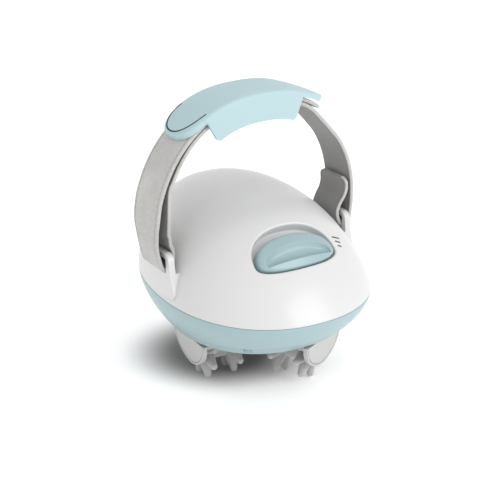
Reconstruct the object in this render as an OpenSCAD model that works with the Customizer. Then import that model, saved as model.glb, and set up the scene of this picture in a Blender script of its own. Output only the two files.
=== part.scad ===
// Hand-held rotary body massager: egg-shaped two-part housing, hand strap with a grip,
// slide switch, geared motor and a rotor that carries three finger rollers.
// Millimetres, +Z up, front of the body toward -Y. Z = 0 is the surface that the finger tips stand on.

/* [Body] */
// Width of the body at the parting line
body_w = 120; // [118:0.5:132]
// Length of the body at the parting line
body_l = 137.4; // [136:0.1:150]
// Extra width of the front half, as a share of the half width
body_flare = 0.067; // [0.04:0.001:0.09]
// Roundness of the outline, where 2 is an ellipse
body_round = 2.167; // [2.1:0.001:2.4]
// Height of the parting line at the middle of the body
part_z = 52.85; // [51:0.05:55]
// Rise of the parting line for each millimetre toward the rear
part_rise = 0.083; // [0.05:0.001:0.1]
// Height of the crown of the upper shell
crown_z = 102.2; // [101:0.1:112]
// Distance of the crown behind the middle of the body
crown_back = 13.65; // [10:0.05:16]
// Fullness of the crown line from the side to the top
crown_rise = 1.4; // [1.3:0.01:1.6]
// Squareness of the shoulders of the upper shell
crown_square = 2.7; // [2.4:0.01:3]
// Height of the bottom edge of the housing
base_z = 26.1; // [25.4:0.1:27]
// Size of the bottom edge compared with the parting line
base_share = 0.745; // [0.74:0.001:0.8]
// Wall thickness of both shells
wall = 2.4; // [2:0.1:2.6]
// Height of the trim ring that closes the bottom edge
ring_h = 4.6; // [3.6:0.1:6]

/* [Strap] */
// Half width of the strap arch, to its outer face
strap_half = 63.3; // [63:0.1:66]
// Rise of the strap arch above its feet
strap_rise = 78.6; // [76:0.1:90]
// Height of the feet of the strap arch
strap_foot_z = 74.9; // [74:0.1:77]
// Width of the webbing
strap_w = 24.4; // [20:0.1:26]
// Thickness of the webbing
strap_t = 2.2; // [1.6:0.1:2.4]
// Distance of the strap behind the middle of the body
strap_y = 2.5; // [0:0.1:5]
// Height of the top of the strap eyes
ear_top = 79.6; // [79:0.1:82]
// Wall thickness of the strap eyes
ear_wall = 3.5; // [3:0.1:4]

/* [Grip] */
// Thickness of the hand grip over the strap
grip_t = 3.6; // [3:0.1:5]
// Depth of the grip's side flaps below its top face
grip_drop = 16.5; // [12:0.1:18]
// Thickness of the flaps
grip_wall = 2.2; // [1.8:0.1:3]

/* [Switch] */
// Half width of the switch recess
recess_half = 25.7; // [24:0.1:26.5]
// Depth of the recess floor below the shell
recess_deep = 8; // [7:0.1:9]
// Travel of the switch from off to the highest speed
switch_travel = 4.5; // [3:0.1:5]

/* [Rotor] */
// Distance of the rotor's axis in front of the middle of the body
rotor_fwd = 6.45; // [5:0.05:8]
// Radius of the rotor disc
rotor_r = 41.5; // [41:0.1:41.6]
// Radius of the roller finger tips, also the height of the roller axles
finger_r = 17.34; // [16:0.02:17.5]
// Fingers in each row of a roller
finger_count = 9; // [7:1:10]
// Distance of the outer finger row from the rotor's axis
row_out = 34.4; // [33:0.1:34.6]
// Distance of the inner finger row from the rotor's axis
row_in = 18.25; // [18:0.05:20]
// Radius of the roller axles
axle_r = 1.5; // [1.2:0.05:2]

/* [Drive] */
// Module of all gears
gear_m = 1; // [0.95:0.01:1]
// Teeth on the motor pinion and on both small wheels
pinion_teeth = 12; // [12:1:12]
// Teeth on the large wheel of the first gear
first_teeth = 40; // [36:1:40]
// Teeth on the large wheel of the second gear
second_teeth = 42; // [38:1:42]
// Teeth on the output gear
output_teeth = 48; // [44:1:48]
// Radius of the motor can
motor_r = 12.2; // [10:0.1:12.5]
// Length of the motor can
motor_len = 30; // [24:0.5:31]
// Radius of the output shaft
shaft_r = 3; // [2.5:0.1:4]

/* [Power inlet] */
// Radius of the inlet port in the housing
port_r = 5; // [4.5:0.1:5.5]
// Depth of the port in front of the jack
port_deep = 4; // [3:0.1:6]

/* [Hidden] */
$fn = 48;

// Colours
white = [0.90, 0.90, 0.90];
pale_blue = [0.70, 0.82, 0.84];
strap_grey = [0.70, 0.69, 0.68];
frosted = [0.80, 0.80, 0.79];
steel = [0.66, 0.67, 0.69];
bronze = [0.70, 0.55, 0.35];
nylon = [0.92, 0.90, 0.84];
board_green = [0.10, 0.42, 0.25];
black = [0.10, 0.10, 0.11];

// Clearances
slip = 0.05;
seat_gap = 0.3;
eps = 0.01;

// Shell lofts
outline_n = 72;
crown_n = 13;
flank_n = 5;
flank_curve = 1.6;
lip_t = 1.6;
lip_up = 2.2;
lip_gap = 0.25;

// Strap eyes
ear_side = 3;
ear_floor = 68.6;
ear_bar = 2.7;
ear_corner = 4;
ear_in = 46;
ear_foot = part_z + 2.2;
ear_lean = 3;
ear_spread = 5.4;
strap_squeeze = 3.2;
eye_half = (strap_w - strap_squeeze) / 2 + seat_gap;

// Strap arch
arch_m = 2.4;
arch_n = 2.375;
layer_gap = 0.2;
bulge = 1.8;
bulge_from = 122;
bulge_to = 168;
stub_u = 58;
strap_toe = 1.3;
squeeze_low = 80;
squeeze_high = 100;

// Grip, as angles along the strap arch
flap_right = 71;
flap_left = 118;
tongue_right = 54;
tongue_left = 131.5;
tongue_lift = 2.2;
grip_half = strap_w / 2 + seat_gap + grip_wall;
grip_low = strap_t + layer_gap + seat_gap;
grip_high = grip_low + grip_t;
grip_edge = 2.2;

// Switch, in its own frame: u across, v up the slope, n out of the shell
switch_y = -39;
switch_z = 83.4;
switch_tilt = 40;
recess_v = -8;
recess_up = 19.2;
recess_down = 7.8;
recess_round = 2.3;
tub_wall = 1.6;
knob_gap = 1;
knob_side_gap = 1.8;
knob_base = 0.4;
knob_top = 1.2;
knob_fall = 3.6;
scoop_half = 20.5;
scoop_back = 7;
scoop_front = -3;
scoop_deep = 3.2;
stem_half = 4;
stem_t = 3;
stem_low = recess_v - stem_t / 2;

// Rotor
axle_z = finger_r;
rotor_y = -rotor_fwd;
head_turn = -186.05;
head_count = 3;
roller_turns = [25, 0, 0];
cavity_r = rotor_r + 0.5;
latch_turns = [-40, 80, 200];
latch_w = 4.5;
latch_h = 3;
cavity_top = 2 * finger_r + 1.4;
floor_t = 2.5;
floor_top = cavity_top + floor_t;
disc_top = base_z - 0.5;
disc_t = 3.2;
window_half = 17.3;
window_out = row_out + 2.8;
window_corner = 3;
plate_low = 9;
plate_r = 41.3;
plate_tilt = 6;
plate_half = 18.4;
plate_t = 2.4;
plate_round = 1.9;
cap_deep = 1;
cap_rim = 1.4;
bracket_half = 16.5;
bracket_t = disc_t - 0.6;
plate_top = disc_top - 0.2;
cap_gap = 0.15;
finger_root_r = 3.8;
finger_tip_r = 2;
barrel_r = 7.6;
rim_in = row_out + finger_root_r + 0.5;
core_r = 4.9;
core_in = 13;
hub_r = core_in - 0.35;
hub_low = 11;
shaft_low = axle_z + axle_r + 1.6;

// Drive
gear_play = 0.06;
addendum = 0.75;
dedendum = 1.05;
pressure = 20;
chassis_t = 2.5;
chassis_r = 45.6;
chassis_at = [-4, 8];
gear_low = floor_top + chassis_t + 0.6;
output_w = 5;
stage_gap = 1;
second_w = 4.5;
first_w = 4.5;
second_z = gear_low + output_w + stage_gap;
first_z = second_z + second_w + stage_gap;
plate_z = first_z + first_w + stage_gap;
motor_z = plate_z + 3;
plate_thick = 3;
gear_reach = gear_m / 2;
output_at = [0, rotor_y];
second_dir = 150;
first_dir = 31;
motor_dir = -48;
second_at = output_at + gear_reach * (output_teeth + pinion_teeth) * dir2(second_dir);
first_at = second_at + gear_reach * (second_teeth + pinion_teeth) * dir2(first_dir);
motor_at = first_at + gear_reach * (first_teeth + pinion_teeth) * dir2(motor_dir);
gear_pin_r = 1.5;
can_t = 1.5;
bush_r = 5;
pillar_r = 3.5;
pillars = [[32, -10], [34, 22], [-35, 35], [-28, -22]];
chassis_points = [[2, 36], [36, 6], [-16, -31]];
screw_r = 1.45;
screw_hole_r = 1.5;
screw_head_r = 2.8;
screw_head_h = 1.8;
small_screw_r = 1.2;
small_head_r = 2;
motor_screw_at = gear_m * (pinion_teeth / 2 + addendum) + small_head_r + 0.25;
motor_screw_turns = [motor_dir + 90, motor_dir - 90];
boss_r = 4;
rear_screws = [[25, 36.5], [-25, 36.5]];
front_screws = [[26, -34], [-26, -34]];
screw_bite = 12;

// Power inlet
port_z = 45;
port_face = body_l / 2 - 6.7;
port_wall = 2.4;
jack_r = 5.8;
jack_len = 13;
jack_bore_r = 2.8;

function dir2(a) = [cos(a), sin(a)];
function spow(v, e) = sign(v) * pow(abs(v), e);

// Point of the body outline at angle t from the front, drawn in by an inset
function outline(t, inset = 0) = let (
    c = spow(cos(t), 2 / body_round),
    s = spow(sin(t), 2 / body_round))
    [(body_w / 2 - inset) * s * (1 + body_flare * c), -(body_l / 2 - inset) * c];

// Point of the upper shell at angle t and rise h from 0 at the parting line to 1 at the crown
function crown_point(t, h, inset) = let (
    o = outline(t, inset),
    share = pow(1 - pow(h, crown_rise), 1 / crown_square))
    [o.x * share, o.y * share + crown_back * h,
     part_z + part_rise * o.y * share + (crown_z - inset - part_z) * h];

// Point of the lower shell at angle t and fall g from 0 at the parting line to 1 at the bottom
function flank_point(t, g, inset) = let (
    o = outline(t, inset),
    share = 1 - (1 - base_share) * pow(g, flank_curve),
    top = part_z + part_rise * o.y)
    [o.x * share, o.y * share, top - (top - base_z) * g];

function ring_of(points_n) = [for (i = [0 : points_n - 1]) 360 * i / points_n];

// Closed solid through rings of equal length, listed from the bottom to the top
module loft(rings, apex = undef) {
    n = len(rings[0]);
    levels = len(rings);
    points = concat([for (r = rings) each r], is_undef(apex) ? [] : [apex]);
    sides = [for (k = [0 : levels - 2], i = [0 : n - 1]) let (
        a = k * n + i,
        b = k * n + (i + 1) % n)
        each [[a, a + n, b + n], [a, b + n, b]]];
    bottom = [[for (i = [0 : n - 1]) i]];
    last = (levels - 1) * n;
    top = is_undef(apex)
        ? [[for (i = [n - 1 : -1 : 0]) last + i]]
        : [for (i = [0 : n - 1]) [last + i, levels * n, last + (i + 1) % n]];
    polyhedron(points, concat(bottom, sides, top), convexity = 6);
}

// Solid of the upper body, whose walls are drawn in by an inset
module crown_solid(inset, n, levels, skirt) {
    below = skirt > 0 ? [[for (t = ring_of(n)) crown_point(t, 0, inset) - [0, 0, skirt]]] : [];
    rings = [for (k = [0 : levels]) let (h = sin(90 * k / (levels + 0.6)))
        [for (t = ring_of(n)) crown_point(t, h, inset)]];
    loft(concat(below, rings), [0, crown_back, crown_z - inset]);
}

// Solid of the lower body, whose walls are drawn in by an inset
module flank_solid(inset, n, levels, head) {
    rings = [for (k = [levels : -1 : 0]) [for (t = ring_of(n)) flank_point(t, k / levels, inset)]];
    above = head > 0 ? [[for (t = ring_of(n)) flank_point(t, 0, inset) + [0, 0, head]]] : [];
    loft(concat(rings, above));
}

module at_switch() {
    translate([0, switch_y, switch_z]) rotate([switch_tilt, 0, 0]) children();
}

// Outline of the recess and the knob: a shallow front and a deep round back
function switch_outline(half, up, down, n) = [for (t = ring_of(n))
    [half * spow(cos(t), 2 / recess_round),
     recess_v + (sin(t) > 0 ? up : down) * spow(sin(t), 2 / recess_round)]];

module recess_2d(grow) {
    polygon(switch_outline(recess_half + grow, recess_up + grow, recess_down + grow, outline_n));
}

// Side view of a strap eye: a post that leans back, a round shoulder and a level top
module ear_profile() {
    side = eye_half + ear_side;
    offset(r = ear_corner) offset(delta = -ear_corner) polygon([
        [strap_y - side - ear_spread, ear_foot],
        [strap_y - side - ear_spread / 4, ear_floor - ear_lean],
        [strap_y - side + 0.6, ear_top],
        [strap_y + side - 0.6, ear_top],
        [strap_y + side + ear_spread / 4, ear_floor - ear_lean],
        [strap_y + side + ear_spread, ear_foot]]);
}

// Wall of a strap eye, which carries the side of the body straight up
module ear_blank() {
    intersection() {
        translate([0, 0, ear_foot])
            linear_extrude(ear_top - ear_foot) polygon([for (t = ring_of(outline_n)) outline(t)]);
        translate([ear_in, 0, 0]) rotate([90, 0, 90]) linear_extrude(body_w) ear_profile();
    }
}

module ear_cuts() {
    pocket = eye_half + ear_side + ear_spread;
    // Pocket between the eye and the shoulder of the body
    translate([0, 0, ear_floor]) linear_extrude(ear_top)
        intersection() {
            polygon([for (t = ring_of(outline_n)) outline(t, ear_wall)]);
            translate([ear_in - 1, strap_y - pocket]) square([body_w, 2 * pocket]);
        }
    // Slot for the webbing
    translate([ear_in, strap_y - eye_half, ear_floor])
        cube([body_w, 2 * eye_half, ear_top - ear_bar - ear_floor]);
}

module ears() {
    for (side = [0, 1]) mirror([side, 0, 0]) difference() {
        ear_blank();
        ear_cuts();
    }
}

// Screw boss of the upper shell, from the parting line to the inside of the crown
module upper_boss(at) {
    translate([at.x, at.y, part_z - 4]) cylinder(r = boss_r, h = crown_z - part_z);
}

module upper_shell() {
    color(white) difference() {
        union() {
            difference() {
                union() {
                    crown_solid(0, outline_n, crown_n, 0);
                    ears();
                }
                crown_solid(wall, 48, 9, 1);
            }
            intersection() {
                crown_solid(wall / 2, 48, 9, 0);
                union() {
                    at_switch() translate([0, 0, -recess_deep - tub_wall])
                        linear_extrude(recess_deep + tub_wall + 6) recess_2d(tub_wall);
                    for (p = concat(rear_screws, front_screws)) upper_boss(p);
                }
            }
        }
        at_switch() {
            translate([0, 0, -recess_deep]) linear_extrude(recess_deep + 20) recess_2d(0);
            translate([-stem_half - seat_gap, stem_low - seat_gap, -recess_deep - tub_wall - 1])
                cube([2 * (stem_half + seat_gap), stem_t + switch_travel + 2 * seat_gap, tub_wall + 2]);
        }
        for (p = concat(rear_screws, front_screws))
            translate([p.x, p.y, part_z - 5]) cylinder(r = screw_hole_r, h = screw_bite + 6);
    }
}

// Level of the parting line at angle t, moved up by a height
function part_ring(inset, n, up) = [for (t = ring_of(n))
    let (o = outline(t, inset)) [o.x, o.y, part_z + part_rise * o.y + up]];

// Tongue of the lower shell inside the upper shell, whose inner face it follows
module shell_lip() {
    difference() {
        intersection() {
            loft([part_ring(0, 48, -5), part_ring(0, 48, lip_up)]);
            crown_solid(wall + lip_gap, 48, 9, 6);
        }
        loft([part_ring(wall + lip_t, 48, -6), part_ring(wall + lip_t, 48, lip_up + 1)]);
    }
}

module lower_boss(at, low) {
    translate([at.x, at.y, low]) cylinder(r = boss_r, h = part_z + part_rise * at.y - low - 0.2);
}

module cavity(r, top) {
    translate([0, rotor_y, base_z - 5]) cylinder(r = r, h = top - base_z + 5, $fn = 96);
}

module port_axis() {
    translate([0, port_face, port_z]) rotate([90, 0, 0]) children();
}

module lower_shell() {
    ring_top = base_z + ring_h;
    color(pale_blue) difference() {
        union() {
            difference() {
                flank_solid(0, outline_n, flank_n, 0);
                flank_solid(wall, 48, 4, 1);
            }
            shell_lip();
            intersection() {
                flank_solid(wall / 2, 48, 4, 0);
                union() {
                    translate([-body_w, -body_l, cavity_top])
                        cube([2 * body_w, 2 * body_l, floor_t]);
                    cavity(cavity_r + wall, floor_top);
                    for (p = rear_screws) lower_boss(p, ring_top);
                    for (p = front_screws) lower_boss(p, cavity_top);
                }
            }
            port_axis() cylinder(r = port_r + port_wall, h = port_deep + jack_len);
        }
        translate([-body_w, -body_l, 0]) cube([2 * body_w, 2 * body_l, ring_top]);
        cavity(cavity_r, cavity_top);
        translate([0, rotor_y, cavity_top - 1]) cylinder(r = bush_r + slip, h = floor_t + 2);
        for (p = rear_screws)
            translate([p.x, p.y, 0]) cylinder(r = screw_hole_r, h = body_l);
        for (p = front_screws) translate([p.x, p.y, cavity_top - 1]) {
            cylinder(r = screw_hole_r, h = body_l);
            cylinder(r = screw_head_r + 0.2, h = screw_head_h + 1.2);
        }
        for (p = chassis_points)
            translate([p.x, p.y, cavity_top - 1]) cylinder(r = screw_hole_r, h = floor_t + 2);
        port_axis() translate([0, 0, -20]) cylinder(r = port_r + port_wall, h = 20);
        port_axis() translate([0, 0, -1]) cylinder(r = port_r, h = port_deep + 1);
        port_axis() translate([0, 0, port_deep]) cylinder(r = jack_r + slip, h = jack_len + 6);
    }
}

module base_ring() {
    ring_top = base_z + ring_h;
    color(pale_blue) difference() {
        intersection() {
            flank_solid(0, outline_n, flank_n, 0);
            translate([-body_w, -body_l, base_z - 1]) cube([2 * body_w, 2 * body_l, ring_h + 1]);
        }
        cavity(cavity_r, ring_top + 1);
        for (p = rear_screws) translate([p.x, p.y, base_z - 1]) {
            cylinder(r = screw_hole_r, h = ring_h + 2);
            cylinder(r = screw_head_r + 0.2, h = screw_head_h + 1.2);
        }
        // Latch notches in the upper edge
        for (a = latch_turns) translate([0, rotor_y, ring_top - latch_h]) rotate(a)
            translate([-latch_w / 2, -body_l, 0]) cube([latch_w, body_l - cavity_r - wall, latch_h + 1]);
    }
}

// Screw with its head at the bottom, pointing up
module screw_up(at, z, len, r = screw_r, head_r = screw_head_r) {
    translate([at.x, at.y, z]) {
        difference() {
            cylinder(r = head_r, h = screw_head_h);
            translate([0, 0, -eps]) for (a = [0, 90]) rotate(a)
                translate([-head_r * 0.7, -0.3, 0]) cube([head_r * 1.4, 0.6, 1]);
        }
        cylinder(r = r, h = len);
    }
}

module screw_down(at, z, len) {
    translate([at.x, at.y, z]) mirror([0, 0, 1]) screw_up([0, 0], -screw_head_h, len);
}

module shell_screws() {
    color(steel) {
        for (p = rear_screws) screw_up(p, base_z + 0.2, part_z - base_z + screw_bite);
        for (p = front_screws) screw_up(p, cavity_top + 0.2, part_z - cavity_top + screw_bite);
    }
}

// Chassis plate on the floor of the lower shell, with the pillars for the motor plate
module gear_chassis() {
    color(nylon) difference() {
        union() {
            translate([chassis_at.x, chassis_at.y, floor_top])
                cylinder(r = chassis_r, h = chassis_t, $fn = 96);
            for (p = pillars) translate([p.x, p.y, floor_top])
                cylinder(r = pillar_r, h = plate_z - floor_top);
            for (p = [first_at, second_at]) translate([p.x, p.y, floor_top])
                cylinder(r = gear_pin_r + 1.5, h = chassis_t + 0.4);
            translate([first_at.x, first_at.y, floor_top])
                cylinder(r = gear_pin_r + 1.5, h = second_z - floor_top - 0.2);
        }
        translate([0, rotor_y, floor_top - 1]) cylinder(r = bush_r + slip, h = chassis_t + 2);
        for (p = [first_at, second_at]) translate([p.x, p.y, floor_top + 1])
            cylinder(r = gear_pin_r + slip, h = plate_z);
        for (p = pillars) translate([p.x, p.y, plate_z - 8]) cylinder(r = screw_hole_r, h = 9);
        for (p = chassis_points) translate([p.x, p.y, floor_top - 1])
            cylinder(r = screw_hole_r, h = chassis_t + 2);
        for (p = front_screws) translate([p.x, p.y, floor_top - 1])
            cylinder(r = boss_r + 0.4, h = chassis_t + 2);
        for (p = rear_screws) translate([p.x, p.y, floor_top - 1])
            cylinder(r = boss_r + 0.4, h = chassis_t + 2);
        port_axis() cylinder(r = port_r + port_wall + 0.4, h = port_deep + jack_len + 4);
    }
}

module motor_plate() {
    color(nylon) difference() {
        translate([chassis_at.x, chassis_at.y, plate_z])
            cylinder(r = chassis_r, h = plate_thick, $fn = 96);
        translate([0, rotor_y, plate_z - 1]) cylinder(r = bush_r + slip, h = plate_thick + 2);
        translate([motor_at.x, motor_at.y, plate_z - 1]) cylinder(r = 3.1, h = plate_thick + 2);
        for (p = [first_at, second_at]) translate([p.x, p.y, plate_z - 1])
            cylinder(r = gear_pin_r + slip, h = plate_thick);
        for (p = pillars) translate([p.x, p.y, plate_z - 1])
            cylinder(r = screw_hole_r, h = plate_thick + 2);
        for (a = motor_screw_turns) translate([motor_at.x, motor_at.y, plate_z - 1]) rotate(a)
            translate([motor_screw_at, 0, 0]) cylinder(r = small_screw_r + slip, h = plate_thick + 2);
        for (p = concat(front_screws, rear_screws)) translate([p.x, p.y, plate_z - 1])
            cylinder(r = boss_r + 0.4, h = plate_thick + 2);
    }
}

module chassis_screws() {
    color(steel) for (p = chassis_points)
        screw_down(p, floor_top + chassis_t + screw_head_h, screw_head_h + chassis_t + floor_t - 0.4);
}

module pillar_screws() {
    color(steel) for (p = pillars)
        screw_down(p, motor_z + screw_head_h, screw_head_h + plate_thick + 7);
}

module motor_screws() {
    color(steel) for (a = motor_screw_turns) translate([motor_at.x, motor_at.y, 0]) rotate(a)
        screw_up([motor_screw_at, 0], plate_z - screw_head_h, screw_head_h + plate_thick + can_t,
            small_screw_r, small_head_r);
}

module output_bushes() {
    color(bronze) {
        translate([0, rotor_y, cavity_top - 0.8]) difference() {
            union() {
                cylinder(r = bush_r, h = floor_t + chassis_t + 0.8);
                cylinder(r = bush_r + 2, h = 0.7);
            }
            translate([0, 0, -1]) cylinder(r = shaft_r + slip, h = 20);
        }
        translate([0, rotor_y, plate_z]) difference() {
            cylinder(r = bush_r, h = plate_thick);
            translate([0, 0, -1]) cylinder(r = shaft_r + slip, h = 20);
        }
    }
}

module gear_axles() {
    color(steel) for (p = [first_at, second_at]) translate([p.x, p.y, floor_top + 1.1])
        cylinder(r = gear_pin_r, h = plate_z - floor_top + 0.7);
}

// Point angles of one gear tooth, counted from its centre line
function inv_deg(a) = tan(a) * 180 / PI - a;
function tooth_half(rho, rb, r, teeth) = let (a = rho > rb ? acos(rb / rho) : 0)
    90 / teeth - gear_play / r * 180 / PI + inv_deg(pressure) - inv_deg(a);

function gear_points(teeth) = let (
    r = gear_m * teeth / 2,
    rb = r * cos(pressure),
    tip = r + addendum * gear_m,
    root = r - dedendum * gear_m,
    low = max(rb, root),
    radii = [root, for (k = [0 : 4]) low + (tip - low) * k / 4])
    [for (i = [0 : teeth - 1]) let (mid = 360 * i / teeth) each concat(
        [for (rho = radii) rho * dir2(mid - tooth_half(max(rho, low), rb, r, teeth))],
        [for (k = [len(radii) - 1 : -1 : 0]) let (rho = radii[k])
            rho * dir2(mid + tooth_half(max(rho, low), rb, r, teeth))])];

module gear_wheel(teeth, turn, height) {
    rotate(turn) linear_extrude(height) polygon(gear_points(teeth));
}

// A wheel that shows a tooth toward direction a, and one that shows a gap toward it
function tooth_toward(a) = a;
function gap_toward(a, teeth) = a + 180 / teeth;

module output_gear() {
    color(nylon) translate([0, rotor_y, gear_low]) difference() {
        union() {
            gear_wheel(output_teeth, tooth_toward(second_dir), output_w);
            cylinder(r = shaft_r + 3, h = plate_z - gear_low - 0.4);
        }
        translate([0, 0, -1]) cylinder(r = shaft_r + slip / 5, h = 40);
        for (a = [0 : 60 : 300]) rotate(a) translate([15, 0, -1]) cylinder(r = 4, h = output_w + 2);
    }
}

module second_gear() {
    color(nylon) translate([second_at.x, second_at.y, gear_low]) difference() {
        union() {
            gear_wheel(pinion_teeth, gap_toward(second_dir + 180, pinion_teeth), output_w + stage_gap);
            translate([0, 0, output_w + stage_gap])
                gear_wheel(second_teeth, tooth_toward(first_dir), second_w);
            translate([0, 0, output_w]) cylinder(r = 4, h = plate_z - gear_low - output_w - 0.4);
        }
        translate([0, 0, -1]) cylinder(r = gear_pin_r + slip, h = 40);
        for (a = [0 : 60 : 300]) rotate(a) translate([12.5, 0, output_w + stage_gap - 1])
            cylinder(r = 3.5, h = second_w + 2);
    }
}

module first_gear() {
    color(nylon) translate([first_at.x, first_at.y, second_z]) difference() {
        union() {
            gear_wheel(pinion_teeth, gap_toward(first_dir + 180, pinion_teeth), second_w + stage_gap);
            translate([0, 0, second_w + stage_gap])
                gear_wheel(first_teeth, tooth_toward(motor_dir), first_w);
            translate([0, 0, second_w]) cylinder(r = 4, h = plate_z - second_z - second_w - 0.4);
        }
        translate([0, 0, -1]) cylinder(r = gear_pin_r + slip, h = 40);
        for (a = [0 : 60 : 300]) rotate(a) translate([12, 0, second_w + stage_gap - 1])
            cylinder(r = 3.5, h = first_w + 2);
    }
}

module motor_pinion() {
    color(bronze) translate([motor_at.x, motor_at.y, first_z]) difference() {
        gear_wheel(pinion_teeth, gap_toward(motor_dir + 180, pinion_teeth), first_w);
        translate([0, 0, -1]) cylinder(r = 1 + slip / 5, h = first_w + 2);
    }
}

module motor_can() {
    color(steel) translate([motor_at.x, motor_at.y, motor_z]) difference() {
        union() {
            cylinder(r = motor_r, h = motor_len);
            translate([0, 0, -1.5]) cylinder(r = 3, h = 2);
        }
        translate([0, 0, can_t]) cylinder(r = motor_r - 1, h = motor_len);
        translate([0, 0, -2]) cylinder(r = 1 + slip, h = 5);
        for (a = motor_screw_turns) rotate(a)
            translate([motor_screw_at, 0, -1]) cylinder(r = small_screw_r + slip, h = 3);
    }
}

module motor_magnets() {
    color(black) translate([motor_at.x, motor_at.y, motor_z + 5]) for (a = [0, 180]) rotate(a)
        intersection() {
            difference() {
                cylinder(r = motor_r - 1.02, h = motor_len - 12);
                translate([0, 0, -1]) cylinder(r = motor_r - 3.2, h = motor_len);
            }
            translate([0, -8, -1]) cube([motor_r, 16, motor_len]);
        }
}

module motor_end_cap() {
    color(black) translate([motor_at.x, motor_at.y, motor_z + motor_len - 3]) difference() {
        union() {
            cylinder(r = motor_r - 1.02, h = 3);
            translate([0, 0, 3]) cylinder(r = motor_r - 0.4, h = 1);
            translate([0, 0, 4]) cylinder(r = 3, h = 1.4);
            for (a = [0, 180]) rotate(a) translate([7, -1.2, 4]) cube([0.6, 2.4, 1.6]);
        }
        translate([0, 0, -1]) cylinder(r = 1 + slip, h = 5);
    }
}

module motor_shaft() {
    color(steel) translate([motor_at.x, motor_at.y, first_z - 0.6])
        cylinder(r = 1, h = motor_z - first_z + 0.6 + motor_len);
}

// Three-pole armature
module motor_armature() {
    color(bronze) translate([motor_at.x, motor_at.y, motor_z + 5]) difference() {
        union() {
            cylinder(r = 3, h = motor_len - 10);
            for (a = [0, 120, 240]) rotate(a) {
                translate([0, -1.2, 1]) cube([motor_r - 5, 2.4, motor_len - 16]);
                intersection() {
                    translate([0, 0, 1]) cylinder(r = motor_r - 3.6, h = motor_len - 16);
                    translate([motor_r - 5.4, -5.6, 1]) cube([3, 11.2, motor_len - 16]);
                }
            }
        }
        translate([0, 0, -1]) cylinder(r = 1 + slip / 5, h = motor_len);
    }
}

module circuit_board() {
    color(board_green) at_switch() difference() {
        translate([-17, recess_v - 9, -recess_deep - tub_wall - 6.2]) cube([34, 20, 1.6]);
        for (x = [-13.5, 13.5]) translate([x, recess_v + 1, -30]) cylinder(r = 1.6, h = 30);
    }
}

module slide_switch() {
    color(steel) at_switch() difference() {
        translate([-8, stem_low - 2.4, -recess_deep - tub_wall - 4.6])
            cube([16, stem_t + switch_travel + 4.8, 3.6]);
        translate([-stem_half + 1.2, stem_low - 0.3, -recess_deep - tub_wall - 3.4])
            cube([2 * stem_half - 2.4, stem_t + switch_travel + 0.6, 5]);
    }
}

module dc_jack() {
    color(black) difference() {
        union() {
            port_axis() translate([0, 0, port_deep]) cylinder(r = jack_r, h = jack_len);
            for (x = [-3.2, 0, 3.2]) translate([x - 0.9, port_face - port_deep - jack_len - 3, port_z])
                cube([1.8, 3.5, 0.5]);
        }
        port_axis() cylinder(r = jack_bore_r, h = port_deep + jack_len - 2);
    }
}

module jack_pin() {
    color(steel) port_axis() translate([0, 0, port_deep + 1]) cylinder(r = 1, h = jack_len - 3);
}

// Point of the strap arch at angle u from the right foot, moved out by an offset
function arch(u, off) = [
    (strap_half + off) * spow(cos(u), 2 / arch_m),
    strap_foot_z + (strap_rise + off) * spow(sin(u), 2 / arch_n)];

function ramp(v, a, b) = let (s = min(max((v - a) / (b - a), 0), 1)) s * s * (3 - 2 * s);

// Smooth curve through a list of points
function spline_at(p, i, s) = let (
    n = len(p) - 1,
    a = p[max(i - 1, 0)],
    b = p[i],
    c = p[min(i + 1, n)],
    d = p[min(i + 2, n)])
    0.5 * (2 * b + (c - a) * s + (2 * a - 5 * b + 4 * c - d) * s * s
        + (3 * b - 3 * c + d - a) * s * s * s);

function spline(p, steps) = concat(
    [for (i = [0 : len(p) - 2], k = [0 : steps - 1]) spline_at(p, i, k / steps)],
    [p[len(p) - 1]]);

// Outline of a band of even thickness along a path
function unit(v) = v / norm(v);
function band_side(path, off) = let (n = len(path) - 1)
    [for (i = [0 : n]) let (d = unit(path[min(i + 1, n)] - path[max(i - 1, 0)]))
        path[i] + off * [-d.y, d.x]];
function reversed(p) = [for (i = [len(p) - 1 : -1 : 0]) p[i]];

// Route of the webbing, seen from the front: the free flap, the right eye, over the top,
// the left eye from inside to outside, and back over the top to the stub
mid = strap_t / 2;
bar_in = body_w / 2 - ear_wall;
bar_out = body_w / 2;
under_bar = ear_floor + seat_gap + mid + 0.2;
inside_eye = [[-bar_in - 1.5, 92.3], [-bar_in - 0.7, 88], [-bar_in + 0.1, 83.8],
    [-bar_in + mid + 0.35, 80.2], [-bar_in + mid + 0.55, 77], [-bar_in + mid, 73.2],
    [-bar_in - 1, under_bar + 0.1], [-bar_out - 0.6, under_bar]];
outside_eye = [[-bar_out - 1.9, under_bar + 1.6], [-bar_out - 3.1, 75.4], [-bar_out - 4.2, 79.4],
    [-bar_out - 4.9, 84], [-bar_out - 5.1, 89], [-bar_out - 5, 94.5]];
free_flap = [[bar_in + 1.7, 99.2], [bar_in + 2.4, 95.6], [bar_in + 2.5, 92], [bar_in + 1.5, 88.5],
    [bar_in - 0.4, 85.4], [bar_in - 2, 82.2], [bar_in - 2.6, 79.2], [bar_in - 2.3, 76.6],
    [bar_in - 1.4, 74.4], [bar_in, 72.2], [bar_in + 1.7, under_bar + 0.4], [bar_out, under_bar],
    [bar_out + 1.5, under_bar + 1.7], [bar_out + 2.3, 75], [bar_out + 3.1, 79.4]];
strap_route = concat(free_flap,
    [for (u = [5 : 6 : 161]) arch(u, right_push(u) - mid)], inside_eye, outside_eye,
    [for (k = [0 : 19]) let (u = 161 - (161 - stub_u) * k / 19)
        arch(u, mid + layer_gap + bulge * ramp(u, bulge_from, bulge_to))]);

// The right arm stands out above its foot and is drawn in below the grip
function right_push(u) = 1.4 * (1 - ramp(u, 18, 38)) - 1.6 * (ramp(u, 32, 46) - ramp(u, 50, 66));

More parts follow.
